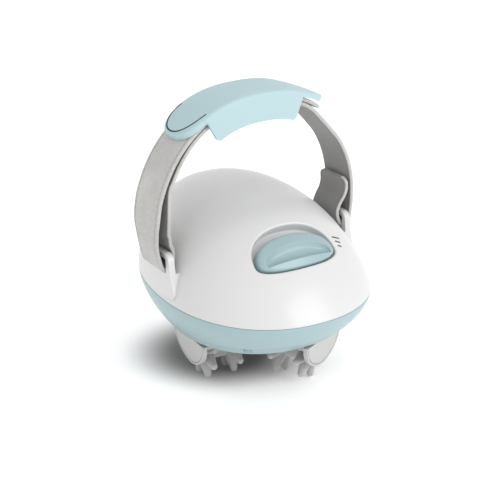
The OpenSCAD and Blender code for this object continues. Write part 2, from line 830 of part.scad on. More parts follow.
// Corner of the webbing: in the eyes it is narrower, and its rear edge follows the wall inward
function strap_corner(p, share) = let (low = 1 - ramp(p.y, squeeze_low, squeeze_high))
    [p.x - sign(p.x) * strap_toe * low * share,
     strap_y + (share - 0.5) * (strap_w - strap_squeeze * low),
     p.y];

module hand_strap() {
    path = spline(strap_route, 3);
    outer = band_side(path, mid);
    inner = band_side(path, -mid);
    color(strap_grey) loft([for (i = [0 : len(path) - 1])
        [strap_corner(outer[i], 0), strap_corner(outer[i], 1),
         strap_corner(inner[i], 1), strap_corner(inner[i], 0)]]);
}

// Half width of the grip's top plate at angle u, rounded at both tongues
function grip_width(u) = let (
    s = u > flap_left ? (u - flap_left) / (tongue_left - flap_left)
        : u < flap_right ? (flap_right - u) / (flap_right - tongue_right) : 0,
    full = u > flap_left || u < flap_right ? grip_half - 0.6 : grip_half)
    full * pow(max(1 - pow(s, 2.4), 0.012), 1 / 2.4);

function grip_rise(u) = tongue_lift * pow(max(0, (flap_right - u) / (flap_right - tongue_right)), 1.5);

function grip_section(u) = let (
    w = grip_width(u),
    e = min(grip_edge, w * 0.6),
    lift = grip_rise(u))
    [for (c = concat(
        [[-w, 0], [w, 0]],
        [for (a = [0 : 30 : 90]) [w - e + e * cos(a), grip_t - e + e * sin(a)]],
        [for (a = [90 : 30 : 180]) [-w + e + e * cos(a), grip_t - e + e * sin(a)]]))
        let (p = arch(u, grip_low + c.y + lift)) [p.x, strap_y + c.x, p.y]];

module grip_top() {
    steps = concat([for (k = [6 : -1 : 0]) flap_left + (tongue_left - flap_left) * sin(15 * k)],
        [for (k = [11 : -1 : 1]) flap_right + (flap_left - flap_right) * k / 12],
        [for (k = [6 : -1 : 0]) tongue_right + (flap_right - tongue_right) * (1 - cos(15 * k))]);
    loft([for (u = steps) grip_section(u)]);
}

module grip_flap() {
    linear_extrude(grip_wall) polygon(concat(
        [for (u = [flap_right : 2.35 : flap_left]) arch(u, grip_high - grip_drop)],
        [for (u = [flap_left : -2.35 : flap_right]) arch(u, grip_high - grip_edge)]));
}

module hand_grip() {
    color(pale_blue) {
        grip_top();
        for (y = [strap_y - grip_half + grip_wall, strap_y + grip_half])
            translate([0, y, 0]) rotate([90, 0, 0]) grip_flap();
    }
}

// Height of the knob's top face at a point of its outline plan, with the finger scoop
function knob_height(u, v) = let (
    a = u / recess_half,
    b = (v - recess_v) / recess_up,
    back = scoop_back * (1.14 * sqrt(max(0, 1 - pow(u / scoop_half, 2))) - 0.14),
    along = (v - recess_v - scoop_front) / (back - scoop_front),
    scoop = abs(u) < scoop_half
        ? scoop_deep * ramp(along, 0, 0.9) * ramp(1 - along, 0, 0.12) : 0)
    knob_top - knob_fall * a * a - 2.4 * max(0, b) * max(0, b) - 1.4 * max(0, -b) - scoop;

module switch_knob() {
    half = recess_half - knob_side_gap;
    up = recess_up - switch_travel - knob_gap;
    down = recess_down - knob_gap * 0.7;
    low = -recess_deep + knob_base;
    rings = 15;
    plan = switch_outline(half, up, down, outline_n);
    color(pale_blue) at_switch() loft(concat(
        [[for (p = plan) [p.x, p.y, low]]],
        [for (k = [0 : rings]) let (share = 1 - 0.95 * pow(k / rings, 1.3))
            [for (p = plan) let (u = p.x * share, v = recess_v + (p.y - recess_v) * share)
                [u, v, knob_height(u, v) - 1.6 * pow(max(0, 1 - k / 2.5), 2)]]]),
        [0, recess_v, knob_height(0, recess_v)]);
}

module switch_stem() {
    color(black) at_switch() {
        translate([-stem_half, stem_low, -recess_deep - tub_wall - 0.4])
            cube([2 * stem_half, stem_t, tub_wall + 0.4 + knob_base]);
        translate([-stem_half + 1.6, stem_low, -recess_deep - tub_wall - 3])
            cube([2 * stem_half - 3.2, stem_t, 2.8]);
    }
}

// Everything of one massage head lies along +X of this frame
module at_head(i) {
    translate([0, rotor_y, 0]) rotate(head_turn + 120 * i) children();
}

// Plan of an arm plate, seen along the axle: half ellipse with its round end down and a straight top
function plate_plan(inset) = let (rise = disc_top - plate_low) concat(
    [for (k = [0 : 24]) let (a = -90 + 7.5 * k)
        [(plate_half - inset) * spow(sin(a), 2 / plate_round),
         rise - (rise - inset) * spow(cos(a), 2 / plate_round)]],
    [[plate_half - inset, rise + 3], [inset - plate_half, rise + 3]]);

module arm_plate(inset, depth, thick) {
    translate([plate_r - depth, 0, plate_low]) rotate([0, plate_tilt, 0]) rotate([90, 0, 90])
        translate([0, 0, -thick]) linear_extrude(thick) polygon(plate_plan(inset));
}

// Opening over a roller, rounded at its outer corners and deeper where the roller's end turns
module rotor_window() {
    low = hub_r + 1;
    translate([low, -window_half]) square([window_out - window_corner - low, 2 * window_half]);
    translate([low, window_corner - window_half])
        square([window_out - low, 2 * (window_half - window_corner)]);
    for (s = [-1, 1]) translate([window_out - window_corner, s * (window_half - window_corner)])
        circle(r = window_corner);
    translate([low, -10]) square([rim_in - low, 20]);
}

module rotor_disc() {
    color(frosted) difference() {
        union() {
            translate([0, rotor_y, disc_top - disc_t]) cylinder(r = rotor_r, h = disc_t, $fn = 96);
            translate([0, rotor_y, hub_low]) cylinder(r = hub_r, h = disc_top - hub_low);
            translate([0, rotor_y, disc_top - 1])
                cylinder(r = shaft_r + 3.5, h = cavity_top - disc_top - 0.2);
            for (i = [0 : head_count - 1]) at_head(i) {
                intersection() {
                    arm_plate(0, 0, plate_t);
                    translate([0, -body_w / 2, 0]) cube([body_w, body_w, plate_top]);
                }
                translate([rim_in - 4, -bracket_half, plate_top - bracket_t])
                    cube([plate_r - rim_in + 4, 2 * bracket_half, bracket_t - 0.3]);
            }
        }
        for (i = [0 : head_count - 1]) at_head(i) {
            translate([0, 0, disc_top - disc_t - 1]) linear_extrude(disc_t + 2) rotor_window();
            arm_plate(cap_rim, -1, cap_deep + 1);
            translate([4.5, 0, axle_z]) rotate([0, 90, 0]) cylinder(r = axle_r + slip / 2, h = 36.4);
        }
        translate([0, rotor_y, hub_low - 1]) {
            cylinder(r = screw_hole_r, h = 20);
            cylinder(r = screw_head_r + 0.2, h = screw_head_h + 1.2);
        }
        translate([0, rotor_y, shaft_low]) cylinder(r = shaft_r + slip / 5, h = 40);
    }
}

module rotor_screw() {
    color(steel) screw_up([0, rotor_y], hub_low + 0.2, shaft_low - hub_low + 6);
}

module output_shaft() {
    color(steel) translate([0, rotor_y, shaft_low]) difference() {
        cylinder(r = shaft_r, h = plate_z + plate_thick - shaft_low);
        translate([0, 0, -1]) cylinder(r = screw_hole_r, h = 9);
    }
}

module arm_caps() {
    color(frosted) for (i = [0 : head_count - 1]) at_head(i)
        difference() {
            arm_plate(cap_rim + cap_gap, 0.05, cap_deep - 0.1);
            translate([0, -body_w / 2, disc_top - 0.3]) cube([body_w, body_w, 10]);
        }
}

module roller_axles() {
    color(steel) for (i = [0 : head_count - 1]) at_head(i)
        translate([4.6, 0, axle_z]) rotate([0, 90, 0]) cylinder(r = axle_r, h = 36.2);
}

module roller_core(i) {
    color(white) at_head(i) translate([core_in, 0, axle_z]) rotate([0, 90, 0]) difference() {
        cylinder(r = core_r, h = row_out + finger_root_r + 0.8 - core_in);
        translate([0, 0, -1]) cylinder(r = axle_r + 0.06, h = 40);
    }
}

// One massage finger, standing out along +Z from the axle
module finger() {
    translate([0, 0, barrel_r - 1.4])
        cylinder(r1 = finger_root_r, r2 = finger_tip_r, h = finger_r - finger_tip_r - barrel_r + 1.4,
            $fn = 32);
    translate([0, 0, finger_r - finger_tip_r]) sphere(r = finger_tip_r, $fn = 32);
}

module roller_fingers(i) {
    first = row_in - finger_root_r + 0.2;
    color(frosted) at_head(i) translate([0, 0, axle_z]) difference() {
        union() {
            translate([first, 0, 0]) rotate([0, 90, 0])
                cylinder(r = barrel_r, h = row_out + finger_root_r - 0.2 - first);
            for (row = [row_in, row_out], k = [0 : finger_count - 1])
                translate([row, 0, 0])
                    rotate([180 + roller_turns[i] + 360 * k / finger_count, 0, 0]) finger();
        }
        translate([first - 1, 0, 0]) rotate([0, 90, 0]) cylinder(r = core_r + slip / 5, h = 40);
    }
}

module roller_1_core() { roller_core(0); }
module roller_1_fingers() { roller_fingers(0); }
module roller_2_core() { roller_core(1); }
module roller_2_fingers() { roller_fingers(1); }
module roller_3_core() { roller_core(2); }
module roller_3_fingers() { roller_fingers(2); }

upper_shell();
lower_shell();
base_ring();
shell_screws();
gear_chassis();
motor_plate();
chassis_screws();
pillar_screws();
output_bushes();
gear_axles();
motor_can();
motor_magnets();
motor_end_cap();
motor_screws();
circuit_board();
slide_switch();
dc_jack();
jack_pin();
hand_strap();
hand_grip();
switch_knob();
switch_stem();
motor_shaft();
motor_armature();
motor_pinion();
first_gear();
second_gear();
output_gear();
output_shaft();
rotor_disc();
rotor_screw();
arm_caps();
roller_axles();
roller_1_core();
roller_1_fingers();
roller_2_core();
roller_2_fingers();
roller_3_core();
roller_3_fingers();
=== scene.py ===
import math

import bmesh
import bpy
from mathutils import Matrix, Vector


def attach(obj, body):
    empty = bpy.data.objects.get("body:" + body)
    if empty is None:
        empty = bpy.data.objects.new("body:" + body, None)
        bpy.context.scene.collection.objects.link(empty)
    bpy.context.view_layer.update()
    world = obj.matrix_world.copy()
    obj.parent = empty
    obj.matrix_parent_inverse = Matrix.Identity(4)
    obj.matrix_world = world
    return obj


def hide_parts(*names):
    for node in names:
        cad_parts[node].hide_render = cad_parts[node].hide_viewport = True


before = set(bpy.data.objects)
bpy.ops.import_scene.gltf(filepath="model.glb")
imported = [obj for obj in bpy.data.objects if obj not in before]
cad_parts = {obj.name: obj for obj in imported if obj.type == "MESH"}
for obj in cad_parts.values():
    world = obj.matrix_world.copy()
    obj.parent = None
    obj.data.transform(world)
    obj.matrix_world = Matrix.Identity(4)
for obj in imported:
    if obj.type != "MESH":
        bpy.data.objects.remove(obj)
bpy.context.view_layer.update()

# Lengths in millimetres; shares and exponents have no unit. They are the model's own, apart from the
# trim ring's seam and notches, the knob's top, the end of the grip's left tongue and small details.
MM = 0.001
BODY_W = 120.0
BODY_L = 137.4
BODY_FLARE = 0.067
BODY_ROUND = 2.167
PART_Z = 52.85
PART_RISE = 0.083
CROWN_Z = 102.2
CROWN_BACK = 13.65
CROWN_RISE = 1.4
CROWN_SQUARE = 2.7
BASE_Z = 26.1
BASE_SHARE = 0.745
FLANK_CURVE = 1.6
WALL = 2.4
RING_H = 5.8
RING_BEVEL = 0.45
RING_ROUND = 0.8
EDGE = 0.45
SEAT_GAP = 0.3
PART_GAP = 0.06
SEAM_GAP = 0.05
SHELL_EDGE = 0.9994
SCREW_HOLE_R = 1.5
SCREW_SEAT_R = 3.0
SCREW_SEAT_H = 2.0
REAR_SCREWS = ((25, 36.5), (-25, 36.5))
FRONT_SCREWS = ((26, -34), (-26, -34))

# Strap and its eyes
STRAP_HALF = 63.3
STRAP_RISE = 78.6
STRAP_FOOT = 74.9
STRAP_W = 24.4
STRAP_T = 2.2
STRAP_Y = 2.5
ARCH_M = 2.4
ARCH_N = 2.375
LAYER_GAP = 0.2
BACK_U = 161.0
STUB_U = 58.0
BULGE = 1.8
BULGE_FROM = 122.0
BULGE_TO = 168.0
# Chart shift that marks where the webbing carries painted shade
PAINTED_SHADE_SHIFT = 60.0
ARM_OUT = 1.4
ARM_IN = 1.6
HEM_IN = 1.7
HEM_PRESS = 0.2
HEM_SPREAD = 0.5
STRAP_TOE = 1.3
STRAP_SQUEEZE = 3.2
SQUEEZE_LOW = 80.0
SQUEEZE_HIGH = 100.0
EAR_TOP = 79.6
EAR_WALL = 3.5
EAR_FLOOR = 68.6
EAR_BAR = 2.7
EAR_CORNER = 4.0
EAR_IN = 46.0
EAR_SIDE = 3.0
EAR_LEAN = 3.0
EAR_SPREAD = 5.4
EAR_TAPER = 0.6
EAR_FOOT = PART_Z + 2.2
EYE_HALF = (STRAP_W - STRAP_SQUEEZE) / 2 + SEAT_GAP

# Grip: its flap, tongue and groove ends are angles along the strap arch
GRIP_T = 3.6
GRIP_DROP = 16.5
GRIP_WALL = 2.2
GRIP_LOW = STRAP_T + LAYER_GAP + SEAT_GAP
GRIP_HALF = STRAP_W / 2 + SEAT_GAP + GRIP_WALL
GRIP_SAG = 0.5
FLAP_CORNER = 2.4
TONGUE_INSET = 0.6
TONGUE_ROUND = 2.4
GROOVE_ROUND = 2.2
FLAP_RIGHT = 71.0
FLAP_LEFT = 118.0
TONGUE_RIGHT = 54.0
TONGUE_LEFT = 132.3
TONGUE_LIFT = 2.2
GROOVE_START = 115.7
GROOVE_END = 130.2
GROOVE_HALF = 11.9
GROOVE_SKEW = 1.2
GROOVE_R = 0.5

# Switch
SWITCH_Y = -39.0
SWITCH_Z = 83.4
SWITCH_TILT = math.radians(40)
RECESS_HALF = 25.7
RECESS_V = -8.0
RECESS_UP = 19.2
RECESS_DOWN = 7.8
RECESS_ROUND = 2.3
RECESS_DEEP = 8.0
KNOB_GAP = 1.0
KNOB_SIDE_GAP = 1.8
KNOB_BASE = 0.4
SWITCH_TRAVEL = 4.5
KNOB_TOP = 1.2
KNOB_FALL = 3.6
KNOB_BACK_FALL = 4.4
LIP_FALL = 0.36
KNOB_EDGE = 1.6
EDGE_SHARE = 0.1
SCOOP_HALF = 20.5
SCOOP_BACK = 7.0
SCOOP_FRONT = -3.0
SCOOP_DEEP = 3.2
SCOOP_VALLEY = 0.5
SCOOP_BOW = 0.14
SCOOP_FADE = 9.0

# Rotor and the hollow above it
ROTOR_Y = -6.45
CAVITY_R = 42.0
CAVITY_TOP = 36.08
FLOOR_T = 2.5
BUSH_SEAT_R = 5.05
LATCH_TURNS = (-40, 80, 200)
LATCH_W = 4.8
LATCH_H = 4.4
LATCH_DEEP = 4.2
ROTOR_R = 41.5
DISC_TOP = 25.6
DISC_T = 3.2
HUB_R = 12.65
HUB_LOW = 11.0
AXLE_Z = 17.34
AXLE_R = 1.5
AXLE_SLIP = 0.03
AXLE_FROM = 4.5
AXLE_TO = 40.9
SHAFT_R = 3.0
COLLAR_T = 3.5
COLLAR_GAP = 1.2
THIN_FROM = 33.0
HUB_EDGE = 0.6
HEAD_TURN = -186.05
HEAD_COUNT = 3
WINDOW_IN = 13.65
WINDOW_OUT = 37.2
WINDOW_HALF = 17.3
WINDOW_CORNER = 3.0
WINDOW_NECK = 38.7
PLATE_R = 41.3
PLATE_LOW = 9.0
PLATE_TILT = 6.0
PLATE_HALF = 18.4
PLATE_T = 2.4
PLATE_ROUND = 1.9
BRACKET_HALF = 16.5
BRACKET_T = 2.6
CAP_RIM = 1.4
CAP_DEEP = 1.0

# Painted shadow on the floor under the rotor
SHADE_X = -9.0
SHADE_Y = 20.0
SHADE_IN = 22.0
SHADE_OUT = 60.0

# Floor, in metres
FLOOR_HALF = 6.0
FLOOR_DROP = 0.0002

# Power inlet
PORT_Y = 62.0
PORT_Z = 45.0
PORT_R = 5.0
PORT_WALL = 2.4
PORT_DEEP = 4.0
JACK_SEAT_R = 5.85
JACK_LEN = 13.0
PORT_BEVEL = 0.4
PORT_SLEEVE = 0.9
SLEEVE_LAP = 0.3
SLEEVE_LIP = 0.1
SLEEVE_DEEP = 7.0


def spow(value, power):
    return math.copysign(abs(value) ** power, value)


def ramp(value, low, high):
    s = min(max((value - low) / (high - low), 0.0), 1.0)
    return s * s * (3 - 2 * s)


# Shader expressions

class Value:
    """A shader socket that can be used in sums, products and powers."""

    def __init__(self, finish, socket):
        self.finish = finish
        self.socket = socket

    def __add__(self, other):
        return self.finish.maths("ADD", self, other)

    def __radd__(self, other):
        return self.finish.maths("ADD", other, self)

    def __sub__(self, other):
        return self.finish.maths("SUBTRACT", self, other)

    def __rsub__(self, other):
        return self.finish.maths("SUBTRACT", other, self)

    def __mul__(self, other):
        return self.finish.maths("MULTIPLY", self, other)

    def __rmul__(self, other):
        return self.finish.maths("MULTIPLY", other, self)


class Finish:
    """A material in the making: a principled shader with its constants, and the nodes that feed it."""

    def __init__(self, name, **constants):
        self.material = bpy.data.materials.new(name)
        self.material.use_nodes = True
        self.tree = self.material.node_tree
        self.tree.nodes.clear()
        self.shader = self.tree.nodes.new("ShaderNodeBsdfPrincipled")
        output = self.tree.nodes.new("ShaderNodeOutputMaterial")
        self.tree.links.new(self.shader.outputs[0], output.inputs["Surface"])
        for socket, value in constants.items():
            self.shader.inputs[socket.replace("_", " ")].default_value = value

    def node(self, kind, settings, sockets, output=0):
        node = self.tree.nodes.new(kind)
        for key, value in settings.items():
            setattr(node, key, value)
        for key, value in sockets.items():
            self.feed(node.inputs[key], value)
        return Value(self, node.outputs[output])

    def feed(self, socket, value):
        if isinstance(value, Value):
            self.tree.links.new(value.socket, socket)
        else:
            socket.default_value = value

    def maths(self, operation, first, second):
        return self.node("ShaderNodeMath", {"operation": operation}, {0: first, 1: second})

    def place(self):
        return self.node("ShaderNodeTexCoord", {}, {}, "Object")

    def uv(self):
        return self.node("ShaderNodeTexCoord", {}, {}, "UV")

    def part(self, vector, axis):
        return self.node("ShaderNodeSeparateXYZ", {}, {0: vector}, axis)

    def noise(self, scale, detail=3, rough=0.5, at=None):
        sockets = {"Vector": at or self.place(), "Scale": scale, "Detail": detail, "Roughness": rough}
        return self.node("ShaderNodeTexNoise", {}, sockets)

    def wave(self, at, direction, scale):
        sockets = {"Vector": at, "Scale": scale, "Distortion": 1.5, "Detail": 1}
        return self.node("ShaderNodeTexWave", {"bands_direction": direction}, sockets)

    def step(self, value, low, high):
        """From 0 below the low value to 1 above the high one."""
        sockets = {"Value": value, "From Min": low, "From Max": high}
        return self.node("ShaderNodeMapRange", {"interpolation_type": "SMOOTHSTEP"}, sockets)

    def tint(self, factor, dark, light):
        sockets = {0: factor}
        for key, color in ((6, dark), (7, light)):
            sockets[key] = color if isinstance(color, Value) else (*color, 1)
        return self.node("ShaderNodeMix", {"data_type": "RGBA"}, sockets, 2)

    def bump(self, height, strength, distance):
        sockets = {"Height": height, "Strength": strength, "Distance": distance}
        return self.node("ShaderNodeBump", {}, sockets)

    def set(self, **sockets):
        for socket, value in sockets.items():
            self.feed(self.shader.inputs[socket.replace("_", " ")], value)
        return self.material


def moulded(name, dark, light, roughness, grain=0.04, coat=0.0, sheen=0.0):
    """Injection-moulded plastic: faint cloudiness, a slightly uneven gloss and a fine grain."""
    f = Finish(name, Coat_Weight=coat, Coat_Roughness=0.08, IOR=1.48, Sheen_Weight=sheen)
    cloud = f.noise(35, 3)
    grit = f.noise(2600, 2)
    return f.set(
        Base_Color=f.tint(cloud, dark, light),
        Roughness=roughness - 0.02 + 0.04 * cloud,
        Normal=f.bump(grit, grain, 0.0002))


def woven():
    """Grey brushed webbing with a fine weave, a line of stitches near each edge and painted shade where its
    chart is moved aside.
    """
    f = Finish("grey_webbing", Sheen_Weight=0.35, Sheen_Roughness=0.5, Specular_IOR_Level=0.2)
    uv = f.uv()
    across = f.part(uv, "Y")
    # Painted shade: the webbing is darker where its chart is moved aside
    inner = f.step(across, 0.4 * PAINTED_SHADE_SHIFT * MM, 0.6 * PAINTED_SHADE_SHIFT * MM)
    side = f.maths("ABSOLUTE", across - PAINTED_SHADE_SHIFT * MM * inner, 0.0)
    weave = f.wave(uv, "X", 620) * f.wave(uv, "Y", 480)
    fluff = f.noise(900, 4, 0.65)
    patches = f.noise(60, 3)
    stitch_at = (STRAP_W / 2 - HEM_IN) * MM
    near = 1.0 - f.step(f.maths("ABSOLUTE", side - stitch_at, 0.0), 0.00015, 0.0005)
    thread = near * (0.6 + 0.4 * f.wave(uv, "X", 90))
    shade = 0.55 * fluff + 0.45 * patches
    outside = f.tint(shade, (0.24, 0.235, 0.227), (0.70, 0.69, 0.67))
    face = f.tint(inner, outside, (0.23, 0.226, 0.218))
    return f.set(
        Base_Color=f.tint(0.6 * thread, face, (0.16, 0.155, 0.15)),
        Roughness=0.82 + 0.12 * fluff,
        Normal=f.bump(0.5 * weave + 0.7 * fluff - 0.8 * thread, 0.45, 0.0004))


def metal(name, color, roughness, metallic=1.0):
    f = Finish(name, Metallic=metallic)
    grit = f.noise(1800, 2)
    brushed = f.node("ShaderNodeMapping", {}, {"Vector": f.place(), "Scale": (60, 60, 1500)})
    lines = f.noise(6, 2, at=brushed)
    return f.set(
        Base_Color=f.tint(lines, tuple(0.85 * c for c in color), color),
        Roughness=roughness - 0.08 + 0.2 * lines,
        Normal=f.bump(grit, 0.05, 0.0001))


SHELL_WHITE = moulded("shell_white", (0.61, 0.61, 0.61), (0.62, 0.62, 0.62), 0.32, grain=0.01, coat=0.12)
PALE_BLUE = moulded("pale_blue", (0.31, 0.425, 0.447), (0.327, 0.443, 0.465), 0.34)
KNOB_BLUE = moulded("knob_blue", (0.29, 0.405, 0.425), (0.31, 0.425, 0.445), 0.30)
GRIP_BLUE = moulded("grip_blue", (0.38, 0.52, 0.55), (0.40, 0.54, 0.57), 0.46, grain=0.1)
# Painted shade: the dark colour laid in the grip's groove
GROOVE_PAINTED_SHADE = moulded("groove_painted_shade", (0.05, 0.075, 0.085), (0.07, 0.10, 0.11), 0.7)
FROSTED = moulded("frosted_plastic", (0.45, 0.45, 0.44), (0.49, 0.49, 0.48), 0.42)
FINGER = moulded("finger_rubber", (0.34, 0.34, 0.335), (0.40, 0.40, 0.395), 0.42, grain=0.12, sheen=0.7)
NYLON = moulded("nylon", (0.74, 0.72, 0.66), (0.80, 0.78, 0.72), 0.5)
BLACK = moulded("black_plastic", (0.012, 0.012, 0.013), (0.03, 0.03, 0.032), 0.45)
BOARD = moulded("board_green", (0.01, 0.12, 0.05), (0.02, 0.18, 0.08), 0.4)
MARK = moulded("mark_grey", (0.05, 0.05, 0.052), (0.07, 0.07, 0.072), 0.5)
WEBBING = woven()
STEEL = metal("steel", (0.62, 0.63, 0.65), 0.3)
BRONZE = metal("bronze", (0.60, 0.42, 0.22), 0.35)
MAGNET = metal("magnet", (0.05, 0.05, 0.055), 0.6, 0.4)


# Pieces

def finished(name, bm, material, body="housing", replaces=(), sharp=38):
    """Turns a mesh in millimetres into a piece of the scene."""
    bmesh.ops.remove_doubles(bm, verts=bm.verts, dist=1e-4)
    bmesh.ops.recalc_face_normals(bm, faces=bm.faces)
    for face in bm.faces:
        face.smooth = True
    for edge in bm.edges:
        edge.smooth = edge.calc_face_angle(0.0) < math.radians(sharp)
    bmesh.ops.scale(bm, vec=(MM, MM, MM), verts=bm.verts)
    mesh = bpy.data.meshes.new(name)
    bm.to_mesh(mesh)
    bm.free()
    mesh.materials.append(material)
    piece = bpy.data.objects.new(name, mesh)
    bpy.context.scene.collection.objects.link(piece)
    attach(piece, body)
    if replaces:
        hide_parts(*replaces)
    return piece


def skin(rows, columns, place, chart=None):
    """A sheet of rows by columns whose points go where place says, with a chart of its surface."""
    bm = bmesh.new()
    bmesh.ops.create_grid(bm, x_segments=columns, y_segments=rows, size=0.5)
    cells = {}
    for v in bm.verts:
        cells[v] = round((v.co.y + 0.5) * rows), round((v.co.x + 0.5) * columns)
    if chart:
        layer = bm.loops.layers.uv.new("UVMap")
        for face in bm.faces:
            for loop in face.loops:
                loop[layer].uv = chart(*cells[loop.vert])
    for v, cell in cells.items():
        v.co = place(*cell)
    bmesh.ops.remove_doubles(bm, verts=bm.verts, dist=1e-4)
    return bm


def outline(turn, inset=0.0):
    c = spow(math.cos(turn), 2 / BODY_ROUND)
    s = spow(math.sin(turn), 2 / BODY_ROUND)
    return (BODY_W / 2 - inset) * s * (1 + BODY_FLARE * c), -(BODY_L / 2 - inset) * c


def part_plane(y):
    return PART_Z + PART_RISE * y


def crown(a, b, inset=0.0):
    """Point of the upper shell over a point of the unit disk, whose edge is the parting line."""
    share = min(math.hypot(a, b), 1.0)
    x, y = outline(math.atan2(a, b), inset)
    h = (1 - share ** CROWN_SQUARE) ** (1 / CROWN_RISE)
    z = part_plane(y * share) + (CROWN_Z - inset - PART_Z) * h
    return Vector((x * share, y * share + CROWN_BACK * h, z))


def flank(turn, fall, inset=0.0):
    """Point of the lower shell, from fall 0 at the parting line to 1 at the bottom edge."""
    x, y = outline(turn, inset)
    share = 1 - (1 - BASE_SHARE) * fall ** FLANK_CURVE
    top = part_plane(y)
    return Vector((x * share, y * share, top - (top - BASE_Z) * fall))


def fall_at(turn, z):
    top = part_plane(outline(turn)[1])
    return (top - z) / (top - BASE_Z)


def from_switch(u, v, n):
    c, s = math.cos(SWITCH_TILT), math.sin(SWITCH_TILT)
    return Vector((u, SWITCH_Y + v * c - n * s, SWITCH_Z + v * s + n * c))


def to_switch(p):
    c, s = math.cos(SWITCH_TILT), math.sin(SWITCH_TILT)
    y, z = p.y - SWITCH_Y, p.z - SWITCH_Z
    return Vector((p.x, y * c + z * s, z * c - y * s))


def disk_under(u, v, start=(0.0, 0.5)):
    """Disk point whose shell point lies at u, v in the switch frame."""
    a, b = start
    step = 1e-4
    for _ in range(12):
        here = to_switch(crown(a, b))
        da = (to_switch(crown(a + step, b)) - here) / step
        db = (to_switch(crown(a, b + step)) - here) / step
        eu, ev = u - here.x, v - here.y
        det = da.x * db.y - da.y * db.x
        a += (eu * db.y - ev * db.x) / det
        b += (ev * da.x - eu * da.y) / det
        if abs(eu) + abs(ev) < 1e-5:
            break
    return a, b


def recess_edge(turn, grow=0.0):
    """Outline of the switch recess in the switch frame."""
    c, s = math.cos(turn), math.sin(turn)
    reach = (RECESS_UP if s > 0 else RECESS_DOWN) + grow
    return ((RECESS_HALF + grow) * spow(c, 2 / RECESS_ROUND),
            RECESS_V + reach * spow(s, 2 / RECESS_ROUND))


def make_upper_shell():
    columns, rim, corner, tub = 320, 1.3, 1.0, 1.6
    turns = [2 * math.pi * k / columns for k in range(columns)]
    mouth, start = [], (0.4, 0.5)
    for t in turns:
        start = disk_under(*recess_edge(t, rim), start)
        mouth.append(start)
    middle = disk_under(0.0, RECESS_V + 3)
    far = []
    for a, b in mouth:
        da, db = a - middle[0], b - middle[1]
        dot, square = middle[0] * da + middle[1] * db, da * da + db * db
        reach = math.sqrt(dot * dot - square * (middle[0] ** 2 + middle[1] ** 2 - SHELL_EDGE ** 2))
        k = (reach - dot) / square
        far.append((middle[0] + k * da, middle[1] + k * db))
    brim = []
    for j, t in enumerate(turns):
        levels = []
        for step in range(6):
            phi = math.radians(18 * step)
            u, v = recess_edge(t, rim * (1 - math.sin(phi)))
            spot = disk_under(u, v, mouth[j])
            n = to_switch(crown(*spot)).z - rim * (1 - math.cos(phi))
            levels.append(from_switch(u, v, n))
        brim.append(levels)

    def floor_row(grow, n):
        return [from_switch(*recess_edge(t, grow), n) for t in turns]

    def disk_row(share, inset):
        row = []
        for (a, b), (c, d) in zip(mouth, far):
            row.append(crown(a + share * (c - a), b + share * (d - b), inset))
        return row

    def edge_row(inset, rise):
        row = []
        for a, b in far:
            x, y = outline(math.atan2(a, b), inset)
            row.append(Vector((x, y, part_plane(y) + rise)))
        return row

    low = -RECESS_DEEP
    rows = [[from_switch(0, RECESS_V, low)] * columns]
    rows += [floor_row(grow, low) for grow in (-4.5, -3, -2, -corner)]
    for step in range(1, 5):
        phi = math.radians(22.5 * step)
        rows.append(floor_row(-corner * (1 - math.sin(phi)), low + corner * (1 - math.cos(phi))))
    rows += [[levels[step] for levels in brim] for step in range(5, -1, -1)]
    spans = 72
    rows += [disk_row((1 - math.cos(math.pi * k / spans)) / 2, 0.0) for k in range(1, spans + 1)]
    for step in range(1, 5):
        phi = math.radians(22.5 * step)
        rows.append(edge_row(EDGE * (1 - math.cos(phi)), EDGE * (1 - math.sin(phi)) + PART_GAP))
    rows.append(edge_row(WALL, PART_GAP))
    rows += [disk_row(1 - k / 12, WALL) for k in range(1, 13)]
    rows += [floor_row(tub, low - tub), [from_switch(0, RECESS_V, low - tub)] * columns]
    bm = skin(len(rows) - 1, columns, lambda i, j: rows[i][j % columns])
    return finished("upper_shell_skin", bm, SHELL_WHITE, replaces=["upper_shell"])


make_upper_shell()


def baked(piece):
    """The piece with its modifiers made part of its mesh."""
    depsgraph = bpy.context.evaluated_depsgraph_get()
    mesh = bpy.data.meshes.new_from_object(piece.evaluated_get(depsgraph))
    piece.modifiers.clear()
    piece.data = mesh
    return piece


def with_modifier(piece, kind, **settings):
    modifier = piece.modifiers.new(kind.lower(), kind)
    for key, value in settings.items():
        setattr(modifier, key, value)
    return modifier


def soft_edges(piece, width, segments=3, angle=32):
    """Rounds the piece's edges by a width in millimetres and evens out its shading."""
    with_modifier(piece, "BEVEL", width=width * MM, segments=segments, limit_method="ANGLE",
                  angle_limit=math.radians(angle), harden_normals=False, miter_outer="MITER_ARC")
    with_modifier(piece, "WEIGHTED_NORMAL", keep_sharp=True, weight=80)


def block(low, high):
    bm = bmesh.new()
    bmesh.ops.create_cube(bm, size=1.0)
    low, high = Vector(low), Vector(high)
    bmesh.ops.scale(bm, vec=high - low, verts=bm.verts)
    bmesh.ops.translate(bm, vec=(low + high) / 2, verts=bm.verts)
    return bm


def rod(radius, low, high, at=(0.0, ROTOR_Y), steps=64):
    """An upright round bar."""
    bm = bmesh.new()
    bmesh.ops.create_cone(bm, cap_ends=True, segments=steps, radius1=radius, radius2=radius,
                          depth=high - low)
    bmesh.ops.translate(bm, vec=(*at, (low + high) / 2), verts=bm.verts)
    return bm


def cutter(name, bm, material=None):
    """A loose solid that shapes a piece through cut, which then removes it."""
    bmesh.ops.recalc_face_normals(bm, faces=bm.faces)
    bmesh.ops.scale(bm, vec=(MM, MM, MM), verts=bm.verts)
    mesh = bpy.data.meshes.new(name)
    bm.to_mesh(mesh)
    bm.free()
    if material:
        mesh.materials.append(material)
    tool = bpy.data.objects.new(name, mesh)
    bpy.context.scene.collection.objects.link(tool)
    return tool


